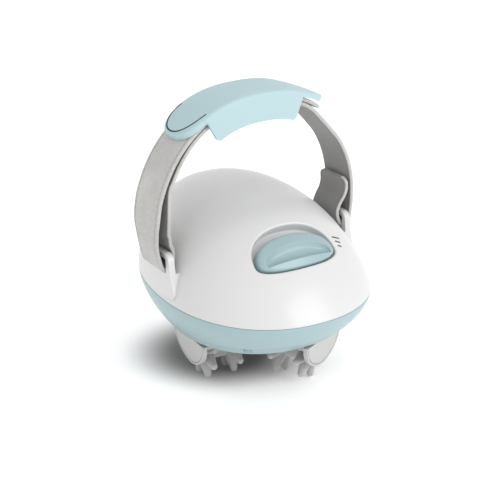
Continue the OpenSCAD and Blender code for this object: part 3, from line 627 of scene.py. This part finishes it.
def cut(piece, *tools, how="DIFFERENCE"):
    """Cuts the tools out of the piece, or joins or intersects it with them."""
    for tool in tools:
        with_modifier(piece, "BOOLEAN", object=tool, operation=how, solver="EXACT",
                      material_mode="TRANSFER")
        baked(piece)
        bpy.data.objects.remove(tool)
    return piece


def prism(points, vector, corner=0.0):
    """A flat outline pushed along a vector, with its long edges rounded."""
    bm = bmesh.new()
    face = bm.faces.new([bm.verts.new(p) for p in points])
    pushed = bmesh.ops.extrude_face_region(bm, geom=[face])
    moved = [g for g in pushed["geom"] if isinstance(g, bmesh.types.BMVert)]
    bmesh.ops.translate(bm, vec=vector, verts=moved)
    if corner:
        way = Vector(vector).normalized()
        long = [e for e in bm.edges if abs((e.verts[1].co - e.verts[0].co).normalized().dot(way)) > 0.99]
        bmesh.ops.bevel(bm, geom=long, offset=corner, segments=8, affect="EDGES", profile=0.5, material=-1,
                        clamp_overlap=True)
    bmesh.ops.recalc_face_normals(bm, faces=bm.faces)
    return bm


def make_ear(side):
    name = "strap_eye_left" if side < 0 else "strap_eye_right"
    rim = [outline(2 * math.pi * k / 256) for k in range(256)]
    inner = [outline(2 * math.pi * k / 256, EAR_WALL) for k in range(256)]
    half = EYE_HALF + EAR_SIDE
    right = [(half - EAR_TAPER, EAR_TOP), (half + EAR_SPREAD / 4, EAR_FLOOR - EAR_LEAN),
             (half + EAR_SPREAD, EAR_FOOT)]
    shape = [(-y, z) for y, z in reversed(right)] + right
    reach = (side * 20.0, 0, 0)
    blank = prism([(side * EAR_IN, STRAP_Y + y, z) for y, z in shape], reach, EAR_CORNER)
    ear = finished(name, blank, SHELL_WHITE, sharp=30)
    wall = cutter("wall_tool", prism([(x, y, 30.0) for x, y in rim], (0, 0, 80.0)))
    pocket = cutter("pocket_tool", prism([(x, y, EAR_FLOOR) for x, y in inner], (0, 0, 40.0)))
    slot = [(-EYE_HALF, EAR_FLOOR), (-EYE_HALF, EAR_TOP - EAR_BAR), (EYE_HALF, EAR_TOP - EAR_BAR),
            (EYE_HALF, EAR_FLOOR)]
    opening = cutter("slot_tool", prism([(side * EAR_IN, STRAP_Y + y, z) for y, z in slot], reach, 0.8))
    cut(ear, wall, how="INTERSECT")
    cut(ear, pocket, opening)
    soft_edges(ear, 0.6)
    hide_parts("upper_shell")
    return ear


for side in (-1, 1):
    make_ear(side)


def make_lower_skin():
    """Outer wall of the lower shell, from the parting line to the seam over the trim ring."""
    columns = 288
    seam = BASE_Z + RING_H
    turns = [2 * math.pi * k / columns for k in range(columns)]

    def edge_row(inset, drop):
        row = []
        for t in turns:
            x, y = outline(t, inset)
            row.append(Vector((x, y, part_plane(y) - drop)))
        return row

    def fall_row(share, inset, first=0.0):
        row = []
        for t in turns:
            start, end = fall_at(t, part_plane(outline(t)[1]) - first), fall_at(t, seam + SEAM_GAP)
            row.append(flank(t, start + share * (end - start), inset))
        return row

    rows = [edge_row(WALL, PART_GAP)]
    for step in range(5):
        phi = math.radians(22.5 * (4 - step))
        rows.append(edge_row(EDGE * (1 - math.cos(phi)), EDGE * (1 - math.sin(phi)) + PART_GAP))
    rows += [fall_row(k / 40, 0.0, EDGE + PART_GAP) for k in range(1, 41)]
    rows += [fall_row(1.0, inset) for inset in (0.3, WALL)]
    rows += [fall_row(1 - k / 8, WALL) for k in range(1, 8)]
    rows.append(rows[0])
    bm = skin(len(rows) - 1, columns, lambda i, j: rows[i][j % columns])
    lower = finished("lower_shell_skin", bm, PALE_BLUE, replaces=["lower_shell"])
    dish = rod(PORT_R + PORT_WALL + PORT_SLEEVE - SLEEVE_LAP, -10, 20, (0, 0))
    bmesh.ops.rotate(dish, matrix=Matrix.Rotation(math.radians(-90), 3, "X"), verts=dish.verts)
    bmesh.ops.translate(dish, vec=(0, PORT_Y, PORT_Z), verts=dish.verts)
    return cut(lower, cutter("inlet_tool", dish))


make_lower_skin()


def spun(profile, steps=128, centre=(0.0, ROTOR_Y)):
    """A round piece: a closed profile of (radius, height) turned about an upright axis."""
    bm = bmesh.new()
    points = [bm.verts.new((centre[0] + r, centre[1], z)) for r, z in profile]
    edges = [bm.edges.new((points[k], points[(k + 1) % len(points)])) for k in range(len(points))]
    bmesh.ops.spin(bm, geom=points + edges, cent=(*centre, 0), axis=(0, 0, 1),
                   angle=2 * math.pi, steps=steps, use_merge=True)
    bmesh.ops.remove_doubles(bm, verts=bm.verts, dist=1e-4)
    return bm


def wall_reach(x, z):
    """How far the lower shell's rear wall stands out past the face of the power inlet."""
    spots, count, step = [], 60, 0.004
    for k in range(-count, count + 1):
        turn = math.pi + step * k
        spots.append(flank(turn, fall_at(turn, z)))
    return min(spots, key=lambda p: abs(p.x - x)).y - PORT_Y


def make_inlet():
    """Collar of the power inlet, with the port in front of the jack's seat and a sleeve up to the wall."""
    columns = 64
    outer, back = PORT_R + PORT_WALL, PORT_DEEP + JACK_LEN
    sleeve = outer + PORT_SLEEVE
    profile = [(JACK_SEAT_R, -back, 0), (JACK_SEAT_R, -PORT_DEEP, 0), (PORT_R, -PORT_DEEP, 0),
               (PORT_R, -PORT_BEVEL, 0), (PORT_R + PORT_BEVEL, 0, 0), (outer, 0, 0),
               (outer, -SLEEVE_LIP, 1), (sleeve, -2 * SLEEVE_LIP, 1), (sleeve, -SLEEVE_DEEP, 0),
               (outer, -SLEEVE_DEEP - 2 * SLEEVE_LIP, 0), (outer, -back, 0), (JACK_SEAT_R, -back, 0)]

    def place(i, j):
        radius, depth, rises = profile[i]
        a = 2 * math.pi * j / columns
        x, z = math.cos(a), math.sin(a)
        if rises:
            depth += wall_reach(radius * x, PORT_Z + radius * z)
        return Vector((radius * x, PORT_Y + depth, PORT_Z + radius * z))

    bm = skin(len(profile) - 1, columns, place)
    return finished("inlet_collar", bm, PALE_BLUE, replaces=["lower_shell"])


make_inlet()


def make_cavity():
    """Round hollow under the lower shell, with its floor, the bush's seat and the screw seats."""
    top = CAVITY_TOP + FLOOR_T
    low = BASE_Z + RING_H + SEAM_GAP
    profile = [(BUSH_SEAT_R, CAVITY_TOP), (CAVITY_R - 1, CAVITY_TOP), (CAVITY_R - 0.3, CAVITY_TOP - 0.3),
               (CAVITY_R, CAVITY_TOP - 1), (CAVITY_R, low), (CAVITY_R + WALL, low),
               (CAVITY_R + WALL, top), (BUSH_SEAT_R, top)]
    cavity = finished("rotor_cavity", spun(profile), PALE_BLUE, replaces=["lower_shell"])
    for at in FRONT_SCREWS:
        seat = rod(SCREW_SEAT_R, CAVITY_TOP - 1, CAVITY_TOP + SCREW_SEAT_H, at, 32)
        cut(cavity, cutter("seat_tool", seat))
        cut(cavity, cutter("hole_tool", rod(SCREW_HOLE_R, CAVITY_TOP - 1, top + 1, at, 32)))
    return cavity


make_cavity()


def make_trim_ring():
    columns = 288
    seam = BASE_Z + RING_H
    turns = [2 * math.pi * k / columns for k in range(columns)]

    def wall_row(z, inset):
        row = []
        for t in turns:
            row.append(flank(t, min(fall_at(t, z), 1.0), inset).xy.to_3d() + Vector((0, 0, z)))
        return row

    def round_row(radius, z):
        row = []
        for t in turns:
            p = flank(t, 1.0) - Vector((0, ROTOR_Y, 0))
            d = Vector((p.x, p.y, 0)).normalized() * radius
            row.append(Vector((d.x, d.y + ROTOR_Y, z)))
        return row

    rows = [wall_row(seam - SEAM_GAP, 1.2), wall_row(seam - SEAM_GAP, RING_BEVEL + 0.1),
            wall_row(seam - RING_BEVEL, 0.0)]
    upright = RING_H - RING_BEVEL - RING_ROUND
    rows += [wall_row(seam - RING_BEVEL - upright * k / 8, 0.0) for k in range(1, 9)]
    for step in range(1, 5):
        phi = math.radians(22.5 * step)
        rows.append(wall_row(BASE_Z + RING_ROUND * (1 - math.sin(phi)), RING_ROUND * (1 - math.cos(phi))))
    rows += [round_row(CAVITY_R + 0.5, BASE_Z), round_row(CAVITY_R + 0.1, BASE_Z + 0.1),
             round_row(CAVITY_R, BASE_Z + 0.5), round_row(CAVITY_R, seam - SEAM_GAP)]
    rows.append(rows[0])
    bm = skin(len(rows) - 1, columns, lambda i, j: rows[i][j % columns])
    ring = finished("trim_ring", bm, PALE_BLUE, replaces=["base_ring"])
    for turn in LATCH_TURNS:
        way = Vector((math.sin(math.radians(turn)), -math.cos(math.radians(turn))))
        spots = [flank(t, fall_at(t, seam)).xy - Vector((0, ROTOR_Y)) for t in turns]
        reach = max(spots, key=lambda p: p.normalized().dot(way)).length
        low, high = (-LATCH_W / 2, -80, seam - LATCH_H), (LATCH_W / 2, LATCH_DEEP - reach, seam + 1)
        notch = block(low, high)
        long = [e for e in notch.edges if abs(e.verts[0].co.y - e.verts[1].co.y) > 1]
        bmesh.ops.bevel(notch, geom=long, offset=0.9, segments=4, affect="EDGES", profile=0.5,
                        material=-1)
        bmesh.ops.rotate(notch, matrix=Matrix.Rotation(math.radians(turn), 3, "Z"), verts=notch.verts)
        bmesh.ops.translate(notch, vec=(0, ROTOR_Y, 0), verts=notch.verts)
        cut(ring, cutter("notch_tool", notch))
    for at in REAR_SCREWS:
        cut(ring, cutter("seat_tool", rod(SCREW_SEAT_R, BASE_Z - 1, BASE_Z + SCREW_SEAT_H, at, 32)))
        cut(ring, cutter("hole_tool", rod(SCREW_HOLE_R, BASE_Z - 1, seam + 1, at, 32)))
    return ring


make_trim_ring()


def knob_height(u, v):
    """Top face of the switch knob, with its crescent scoop."""
    a = u / RECESS_HALF
    b = (v - RECESS_V) / RECESS_UP
    back = SCOOP_BACK * ((1 + SCOOP_BOW) * math.sqrt(max(0.0, 1 - (u / SCOOP_HALF) ** 2)) - SCOOP_BOW)
    fall = (back - v + RECESS_V) / (back - SCOOP_FRONT)
    scoop = 0.0
    if abs(u) < SCOOP_HALF and 0 < fall < 1:
        span = SCOOP_VALLEY if fall < SCOOP_VALLEY else 1 - SCOOP_VALLEY
        from_valley = abs(fall - SCOOP_VALLEY) / span
        scoop = SCOOP_DEEP * (1 - from_valley ** 2) * ramp(back - SCOOP_FRONT, 0, SCOOP_FADE)
    lip = max(0.0, SCOOP_FRONT + RECESS_V - v)
    return KNOB_TOP - KNOB_FALL * a * a - KNOB_BACK_FALL * max(0.0, b) ** 2 - LIP_FALL * lip - scoop


def make_knob():
    columns, rings = 320, 120
    half = RECESS_HALF - KNOB_SIDE_GAP
    up = RECESS_UP - SWITCH_TRAVEL - KNOB_GAP
    down = RECESS_DOWN - KNOB_GAP * 0.7
    plan = []
    for k in range(columns):
        t = 2 * math.pi * k / columns
        c, s = math.cos(t), math.sin(t)
        plan.append((half * spow(c, 2 / RECESS_ROUND), (up if s > 0 else down) * spow(s, 2 / RECESS_ROUND)))

    def place(i, j):
        u, v = plan[j % columns]
        if i == 0:
            return from_switch(0, RECESS_V, -RECESS_DEEP + KNOB_BASE)
        if i == 1:
            return from_switch(u, v + RECESS_V, -RECESS_DEEP + KNOB_BASE)
        share = 1 - (i - 2) / rings
        near = max(0.0, (share - 1 + EDGE_SHARE) / EDGE_SHARE)
        drop = KNOB_EDGE * (1 - math.sqrt(max(0.0, 1 - near * near)))
        u, v = u * share, v * share
        return from_switch(u, v + RECESS_V, knob_height(u, v + RECESS_V) - drop)

    bm = skin(rings + 2, columns, place)
    return finished("switch_knob_skin", bm, KNOB_BLUE, "switch", ["switch_knob"], sharp=60)


make_knob()


def arch(u, off):
    c, s = math.cos(math.radians(u)), math.sin(math.radians(u))
    return Vector(((STRAP_HALF + off) * spow(c, 2 / ARCH_M),
                   STRAP_FOOT + (STRAP_RISE + off) * spow(s, 2 / ARCH_N)))


def spline(points, steps):
    """Smooth curve through a list of points."""
    last = len(points) - 1
    curve = []
    for i in range(last):
        a, b, c, d = (points[max(i - 1, 0)], points[i], points[i + 1], points[min(i + 2, last)])
        for k in range(steps):
            s = k / steps
            curve.append(0.5 * (2 * b + (c - a) * s + (2 * a - 5 * b + 4 * c - d) * s * s
                                + (3 * b - 3 * c + d - a) * s ** 3))
    return curve + [points[last]]


def right_push(u):
    """The right arm stands out above its foot and is drawn in below the grip."""
    return ARM_OUT * (1 - ramp(u, 18, 38)) - ARM_IN * (ramp(u, 32, 46) - ramp(u, 50, 66))


def strap_route():
    """The free flap, the right eye, over the top, the left eye and back over the top to the stub."""
    mid = STRAP_T / 2
    inner, outer = BODY_W / 2 - EAR_WALL, BODY_W / 2
    under = EAR_FLOOR + SEAT_GAP + mid + 0.2
    flap = [(inner + 1.7, 99.2), (inner + 2.4, 95.6), (inner + 2.5, 92), (inner + 1.5, 88.5),
            (inner - 0.4, 85.4), (inner - 2, 82.2), (inner - 2.6, 79.2), (inner - 2.3, 76.6),
            (inner - 1.4, 74.4), (inner, 72.2), (inner + 1.7, under + 0.4), (outer, under),
            (outer + 1.5, under + 1.7), (outer + 2.3, 75), (outer + 3.1, 79.4)]
    left = [(-inner - 1.5, 92.3), (-inner - 0.7, 88), (-inner + 0.1, 83.8), (-inner + mid + 0.35, 80.2),
            (-inner + mid + 0.55, 77), (-inner + mid, 73.2), (-inner - 1, under + 0.1),
            (-outer - 0.6, under), (-outer - 1.9, under + 1.6), (-outer - 3.1, 75.4),
            (-outer - 4.2, 79.4), (-outer - 4.9, 84), (-outer - 5.1, 89), (-outer - 5, 94.5)]
    over = [arch(u, right_push(u) - mid) for u in range(5, 156, 6)]
    back = []
    for k in range(20):
        u = BACK_U - (BACK_U - STUB_U) * k / 19
        back.append(arch(u, mid + LAYER_GAP + BULGE * ramp(u, BULGE_FROM, BULGE_TO)))
    return [Vector(p) for p in flap] + over + [Vector(p) for p in left] + back


def make_strap():
    path = spline(strap_route(), 9)
    count = len(path) - 1
    half_t, half_w, soft, tip_r = STRAP_T / 2, STRAP_W / 2, 0.8, 3.6
    ring = []
    for across, out, first in ((half_w, half_t, 0), (-half_w, half_t, 90), (-half_w, -half_t, 180),
                               (half_w, -half_t, 270)):
        for k in range(6):
            a = math.radians(first + 18 * k)
            ring.append((across - math.copysign(soft, across) + soft * math.cos(a),
                         out - math.copysign(soft, out) + soft * math.sin(a)))
        end = ring[-1]
        span = {0: (-1, 0), 90: (0, -1), 180: (1, 0), 270: (0, 1)}[first]
        length = 2 * (half_w - soft) if span[0] else 2 * (half_t - soft)
        pieces = 20 if span[0] else 2
        for k in range(1, pieces):
            ring.append((end[0] + span[0] * length * k / pieces, end[1] + span[1] * length * k / pieces))
    columns = len(ring)
    lengths = [0.0]
    for k in range(count):
        lengths.append(lengths[-1] + (path[k + 1] - path[k]).length)

    def hem(across):
        """The webbing is pressed thinner along a line of stitches near each edge."""
        return HEM_PRESS * math.exp(-((half_w - abs(across) - HEM_IN) / HEM_SPREAD) ** 2)

    def tip_share(length):
        """The end of the free flap has round corners."""
        near = max(0.0, tip_r - length)
        return 1 - (tip_r - math.sqrt(tip_r ** 2 - near ** 2)) / half_w

    def place(i, j):
        across, out = ring[j % columns]
        k = min(max(i - 1, 0), count)
        p = path[k]
        d = (path[min(k + 1, count)] - path[max(k - 1, 0)]).normalized()
        if i in (0, count + 2):
            across, out = across * 0.97, 0.0
            p = p + d * (0.5 if i else -0.5)
        across *= tip_share(lengths[k])
        out -= math.copysign(hem(across), out) if out else 0.0
        q = p + Vector((-d.y, d.x)) * out
        low = 1 - ramp(q.y, SQUEEZE_LOW, SQUEEZE_HIGH)
        toe = STRAP_TOE * low * (0.5 + across / STRAP_W)
        across *= 1 - STRAP_SQUEEZE * low / STRAP_W
        return Vector((q.x - math.copysign(toe, q.x), STRAP_Y + across, q.y))

    def chart(i, j):
        """Length along the webbing and distance from its middle, moved aside for painted shade on its inner
        face and over the first half of its length.
        """
        across, out = ring[j % columns]
        length = lengths[min(max(i - 1, 0), count)]
        # Painted shade on the inner face and on both faces over the first half of the length
        in_painted_shade = out < 0 or length < 0.5 * lengths[-1]
        shift = PAINTED_SHADE_SHIFT if in_painted_shade and abs(across) < half_w - 0.4 else 0.0
        return length * MM, (across + shift) * MM

    bm = skin(count + 2, columns, place, chart)
    strap = finished("hand_strap_webbing", bm, WEBBING, replaces=["hand_strap"], sharp=70)
    return strap


make_strap()


def grip_width(u):
    s = 0.0
    if u > FLAP_LEFT:
        s = (u - FLAP_LEFT) / (TONGUE_LEFT - FLAP_LEFT)
    elif u < FLAP_RIGHT:
        s = (FLAP_RIGHT - u) / (FLAP_RIGHT - TONGUE_RIGHT)
    wide = GRIP_HALF - (TONGUE_INSET if s > 0 else 0.0)
    return wide * max(1 - s ** TONGUE_ROUND, 1e-6) ** (1 / TONGUE_ROUND)


def grip_lift(u):
    return TONGUE_LIFT * max(0.0, (FLAP_RIGHT - u) / (FLAP_RIGHT - TONGUE_RIGHT)) ** 1.5


def grip_point(u, across, out):
    """Point of the grip: out from the arch, with a top face that falls a little toward its edges."""
    sag = GRIP_SAG * (across / GRIP_HALF) ** 2 * max(0.0, out / GRIP_T)
    p = arch(u, GRIP_LOW + out - sag + grip_lift(u))
    return Vector((p.x, STRAP_Y + across, p.y))


def groove_tool():
    """Tube along the U-shaped groove of the left tongue."""
    steps, sides = 96, 12
    path = []
    for k in range(steps + 1):
        a = math.radians(180 * k / steps)
        rise = math.sin(a) ** (2 / GROOVE_ROUND)
        u = GROOVE_START + (GROOVE_END - GROOVE_START) * rise
        across = GROOVE_HALF * spow(math.cos(a), 2 / GROOVE_ROUND) + GROOVE_SKEW * rise
        path.append((u, across))
    spots = [grip_point(u, across, GRIP_T) for u, across in path]

    def place(i, j):
        k = min(max(i - 1, 0), steps)
        ahead = (spots[min(k + 1, steps)] - spots[max(k - 1, 0)]).normalized()
        up = (grip_point(*path[k], GRIP_T + 1) - spots[k]).normalized()
        if i in (0, steps + 2):
            return spots[k] + ahead * (0.3 if i else -0.3)
        a = 2 * math.pi * j / sides
        return spots[k] + GROOVE_R * (math.cos(a) * up + math.sin(a) * ahead.cross(up))

    return skin(steps + 2, sides, place)


def make_grip():
    edge, flap_low = 2.2, GRIP_T - GRIP_DROP
    left = [FLAP_LEFT + (TONGUE_LEFT - FLAP_LEFT) * math.sin(math.radians(90 * k / 18))
            for k in range(18, -1, -1)]
    ends = (0, 0.1, 0.3, 0.6, 1.0, 1.5, 2.0)
    inner = [FLAP_RIGHT + 2 + (FLAP_LEFT - FLAP_RIGHT - 4) * k / 40 for k in range(39, 0, -1)]
    mid = [FLAP_LEFT - d for d in ends] + inner + [FLAP_RIGHT + d for d in reversed(ends)]
    right = [TONGUE_RIGHT + (FLAP_RIGHT - TONGUE_RIGHT) * (1 - math.cos(math.radians(90 * k / 18)))
             for k in range(18, -1, -1)]
    rows = [(u, False) for u in left] + [(u, True) for u in mid] + [(u, False) for u in right]
    corner = [(math.cos(math.radians(a)), math.sin(math.radians(a))) for a in range(0, 91, 15)]

    def flap_edge(u):
        """Lower edge of a flap, whose ends have round corners."""
        from_end = min(u - FLAP_RIGHT, FLAP_LEFT - u) * 1.1
        near = max(0.0, FLAP_CORNER - from_end)
        return flap_low + FLAP_CORNER - math.sqrt(FLAP_CORNER ** 2 - near ** 2)

    def section(w, low, flaps):
        e = min(edge, w * 0.6)
        side = [0.2, 0.5, 0.8] if flaps else [0.0, 0.0, 0.0]
        points = [(w, low)] + [(w, low + s * (GRIP_T - e - low)) for s in side]
        points += [(w - e + e * c, GRIP_T - e + e * s) for c, s in corner]
        points += [((w - e) * (1 - k / 4), GRIP_T) for k in range(1, 8)]
        points += [(-w + e - e * c, GRIP_T - e + e * s) for c, s in reversed(corner)]
        points += [(-w, low + s * (GRIP_T - e - low)) for s in reversed(side)] + [(-w, low)]
        inside = w - GRIP_WALL if flaps else w
        points += [(-inside, low), (-inside, 0.0), (inside, 0.0), (inside, low)]
        return points

    columns = len(section(GRIP_HALF, flap_low, True))

    def place(i, j):
        if i in (0, len(rows) + 1):
            return grip_point(rows[0][0] if i == 0 else rows[-1][0], 0.0, GRIP_T * 0.45)
        u, flaps = rows[i - 1]
        low = flap_edge(u) if flaps else 0.0
        return grip_point(u, *section(grip_width(u), low, flaps)[j % columns])

    bm = skin(len(rows) + 1, columns, place)
    grip = finished("hand_grip_pad", bm, GRIP_BLUE, replaces=["hand_grip"], sharp=35)
    soft_edges(grip, 0.4, angle=40)
    baked(grip)
    # The groove's cut faces take the painted groove shade
    cut(grip, cutter("groove_tool", groove_tool(), GROOVE_PAINTED_SHADE))
    return grip


make_grip()


def make_dash(name, first, last):
    """A short raised line on the shell beside the switch."""
    steps, sides, half, rise = 8, 12, 0.48, 0.2
    spots, ups = [], []
    start = (0.4, 0.5)
    for k in range(steps + 1):
        s = to_switch(Vector(first).lerp(Vector(last), k / steps))
        start = disk_under(s.x, s.y, start)
        a, b = start
        here = crown(a, b)
        up = (crown(a + 0.001, b) - here).cross(crown(a, b + 0.001) - here).normalized()
        spots.append(here)
        ups.append(up if up.z > 0 else -up)

    def place(i, j):
        k = min(max(i - 1, 0), steps)
        ahead = (spots[min(k + 1, steps)] - spots[max(k - 1, 0)]).normalized()
        if i in (0, steps + 2):
            return spots[k] + ahead * (0.2 if i else -0.2)
        a = 2 * math.pi * j / sides
        return spots[k] + rise * math.cos(a) * ups[k] + half * math.sin(a) * ahead.cross(ups[k])

    return finished(name, skin(steps + 2, sides, place), MARK)


make_dash("speed_mark_long", (28.4, -36.6, 79.2), (33.9, -35.6, 76.8))
make_dash("speed_mark_middle", (29.1, -38.6, 77.2), (32.9, -38.1, 75.5))
make_dash("speed_mark_short", (29.4, -40.7, 75.3), (32.1, -40.3, 74.0))


# Rotor

def at_head(bm, index):
    """Moves a piece drawn along +X to the place of a massage head."""
    turn = Matrix.Rotation(math.radians(HEAD_TURN + 120 * index), 3, "Z")
    bmesh.ops.rotate(bm, matrix=turn, verts=bm.verts)
    bmesh.ops.translate(bm, vec=(0, ROTOR_Y, 0), verts=bm.verts)
    return bm


def plate_plan(inset):
    """Arm plate seen along the axle: a half ellipse with its round end down and a straight top."""
    rise = DISC_TOP - PLATE_LOW
    plan = []
    for k in range(49):
        a = math.radians(-90 + 3.75 * k)
        plan.append(((PLATE_HALF - inset) * spow(math.sin(a), 2 / PLATE_ROUND),
                     rise - (rise - inset) * spow(math.cos(a), 2 / PLATE_ROUND)))
    return plan + [(PLATE_HALF - inset, rise + 3), (inset - PLATE_HALF, rise + 3)]


def arm_plate(inset, depth, thick):
    bm = prism([(-thick, y, z) for y, z in plate_plan(inset)], (thick, 0, 0))
    bmesh.ops.rotate(bm, matrix=Matrix.Rotation(math.radians(PLATE_TILT), 3, "Y"), verts=bm.verts)
    bmesh.ops.translate(bm, vec=(PLATE_R - depth, 0, PLATE_LOW), verts=bm.verts)
    return bm


def make_rotor_disc():
    """Rotor disc, thinner toward its rim, with its hub, brackets and arm plates."""
    low = DISC_TOP - DISC_T
    collar, top = SHAFT_R + COLLAR_T, CAVITY_TOP - COLLAR_GAP
    profile = [(AXLE_R, HUB_LOW), (HUB_R - HUB_EDGE, HUB_LOW), (HUB_R, HUB_LOW + HUB_EDGE), (HUB_R, low),
               (THIN_FROM, low), (ROTOR_R - 0.3, DISC_TOP - 0.7), (ROTOR_R, DISC_TOP - 0.5),
               (ROTOR_R, DISC_TOP - 0.2), (ROTOR_R - 0.2, DISC_TOP), (collar, DISC_TOP), (collar, top),
               (AXLE_R, top)]
    disc = finished("rotor_disc_skin", spun(profile, 160), FROSTED, "rotor", ["rotor_disc"])
    lid = DISC_TOP - 0.2
    for index in range(HEAD_COUNT):
        plate = arm_plate(0, 0, PLATE_T)
        upper = [*plate.verts, *plate.edges, *plate.faces]
        cut_off = bmesh.ops.bisect_plane(plate, geom=upper, plane_co=(0, 0, lid), plane_no=(0, 0, 1),
                                         clear_outer=True)
        rim = [g for g in cut_off["geom_cut"] if isinstance(g, bmesh.types.BMEdge)]
        bmesh.ops.edgeloop_fill(plate, edges=rim)
        cut(disc, cutter("plate_tool", at_head(plate, index)), how="UNION")
        near, far = (WINDOW_NECK - 4, -BRACKET_HALF, lid - BRACKET_T), (PLATE_R, BRACKET_HALF, lid - 0.3)
        bracket = block(near, far)
        cut(disc, cutter("bracket_tool", at_head(bracket, index)), how="UNION")
    for index in range(HEAD_COUNT):
        window = block((WINDOW_IN, -WINDOW_HALF, low - 1), (WINDOW_OUT, WINDOW_HALF, DISC_TOP + 1))
        outer = [e for e in window.edges if min(v.co.x for v in e.verts) > WINDOW_OUT - 1
                 and abs(e.verts[0].co.z - e.verts[1].co.z) > 1]
        bmesh.ops.bevel(window, geom=outer, offset=WINDOW_CORNER, segments=6, affect="EDGES", profile=0.5,
                        material=-1)
        neck = block((WINDOW_IN + 1, -10, low - 1.2), (WINDOW_NECK, 10, DISC_TOP + 1.2))
        seat = arm_plate(CAP_RIM - 0.3, -1, CAP_DEEP + 1)
        bore = rod(AXLE_R + AXLE_SLIP, AXLE_FROM, AXLE_TO, (0, 0), 32)
        bmesh.ops.rotate(bore, matrix=Matrix.Rotation(math.radians(90), 3, "Y"), verts=bore.verts)
        bmesh.ops.translate(bore, vec=(0, 0, AXLE_Z), verts=bore.verts)
        for bm in (window, neck, seat, bore):
            cut(disc, cutter("head_tool", at_head(bm, index)))
    cut(disc, cutter("seat_tool", rod(SCREW_SEAT_R, HUB_LOW - 1, HUB_LOW + SCREW_SEAT_H)))
    cut(disc, cutter("shaft_tool", rod(SHAFT_R, AXLE_Z + AXLE_R + 1.6, CAVITY_TOP)))
    soft_edges(disc, 0.25, 2)
    return disc


make_rotor_disc()


# Nodes of the frame that keep their shape

FINISHES = {
    "shell_screws": STEEL, "gear_chassis": NYLON, "motor_plate": NYLON, "chassis_screws": STEEL,
    "pillar_screws": STEEL, "output_bushes": BRONZE, "gear_axles": STEEL, "motor_can": STEEL,
    "motor_magnets": MAGNET, "motor_end_cap": BLACK, "motor_screws": STEEL, "circuit_board": BOARD,
    "slide_switch": STEEL, "dc_jack": BLACK, "jack_pin": STEEL, "switch_stem": BLACK,
    "motor_shaft": STEEL, "motor_armature": BRONZE, "motor_pinion": BRONZE, "first_gear": NYLON,
    "second_gear": NYLON, "output_gear": NYLON, "output_shaft": STEEL,
    "rotor_screw": STEEL, "arm_caps": FROSTED, "roller_axles": STEEL,
    "roller_1_core": SHELL_WHITE, "roller_1_fingers": FINGER, "roller_2_core": SHELL_WHITE,
    "roller_2_fingers": FINGER, "roller_3_core": SHELL_WHITE, "roller_3_fingers": FINGER,
}
for node, material in FINISHES.items():
    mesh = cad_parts[node].data
    mesh.materials.clear()
    mesh.materials.append(material)


# Floor, lights and camera

def make_floor():
    bm = bmesh.new()
    bmesh.ops.create_grid(bm, x_segments=1, y_segments=1, size=FLOOR_HALF)
    bmesh.ops.translate(bm, vec=(0, 0, -FLOOR_DROP), verts=bm.verts)
    mesh = bpy.data.meshes.new("floor")
    bm.to_mesh(mesh)
    bm.free()
    f = Finish("floor_white", Roughness=0.9, Emission_Strength=0.2)
    x, y = f.part(f.place(), "X") - SHADE_X * MM, f.part(f.place(), "Y") - SHADE_Y * MM
    reach = f.maths("POWER", x * x + y * y, 0.5)
    # Painted shadow: the floor's colour and glow fade to dark in a round patch under the rotor
    lit = f.step(reach, SHADE_IN * MM, SHADE_OUT * MM)
    mesh.materials.append(f.set(
        Base_Color=f.tint(lit, (0.22, 0.22, 0.22), (0.94, 0.94, 0.94)),
        Emission_Color=f.tint(lit, (0.0, 0.0, 0.0), (1.0, 1.0, 1.0))))
    floor = bpy.data.objects.new("floor", mesh)
    bpy.context.scene.collection.objects.link(floor)


def softbox(name, place, target, size, power):
    light = bpy.data.lights.new(name, "AREA")
    light.shape = "RECTANGLE"
    light.size, light.size_y = size
    light.energy = power
    lamp = bpy.data.objects.new(name, light)
    lamp.location = place
    lamp.rotation_mode = "QUATERNION"
    lamp.rotation_quaternion = (Vector(target) - Vector(place)).to_track_quat("-Z", "Y")
    bpy.context.scene.collection.objects.link(lamp)


def make_light():
    world = bpy.data.worlds.new("studio")
    world.use_nodes = True
    world.node_tree.nodes["Background"].inputs["Color"].default_value = (1, 1, 1, 1)
    world.node_tree.nodes["Background"].inputs["Strength"].default_value = 1.0
    bpy.context.scene.world = world
    bpy.context.scene.view_settings.view_transform = "Standard"
    softbox("key_box", (0.42, -0.98, 0.56), (0.0, 0, 0.06), (0.6, 0.6), 4.8)


def make_camera():
    """Camera at the photograph's place, for a square frame of 500 by 500."""
    turn, rise, distance = math.radians(-34.179), math.radians(21.41), 0.92941
    back = Vector((math.sin(turn) * math.cos(rise), -math.cos(turn) * math.cos(rise), math.sin(rise)))
    target = Vector((0.0, 0.0011, 0.065589))
    data = bpy.data.cameras.new("camera")
    data.sensor_width = 36
    data.lens = 120.75
    data.shift_x = 0.409 / 500
    data.clip_start, data.clip_end = 0.05, 20
    camera = bpy.data.objects.new("camera", data)
    camera.location = target + back * distance
    camera.rotation_mode = "QUATERNION"
    camera.rotation_quaternion = (-back).to_track_quat("-Z", "Y")
    bpy.context.scene.collection.objects.link(camera)
    bpy.context.scene.camera = camera


make_floor()
make_light()
make_camera()
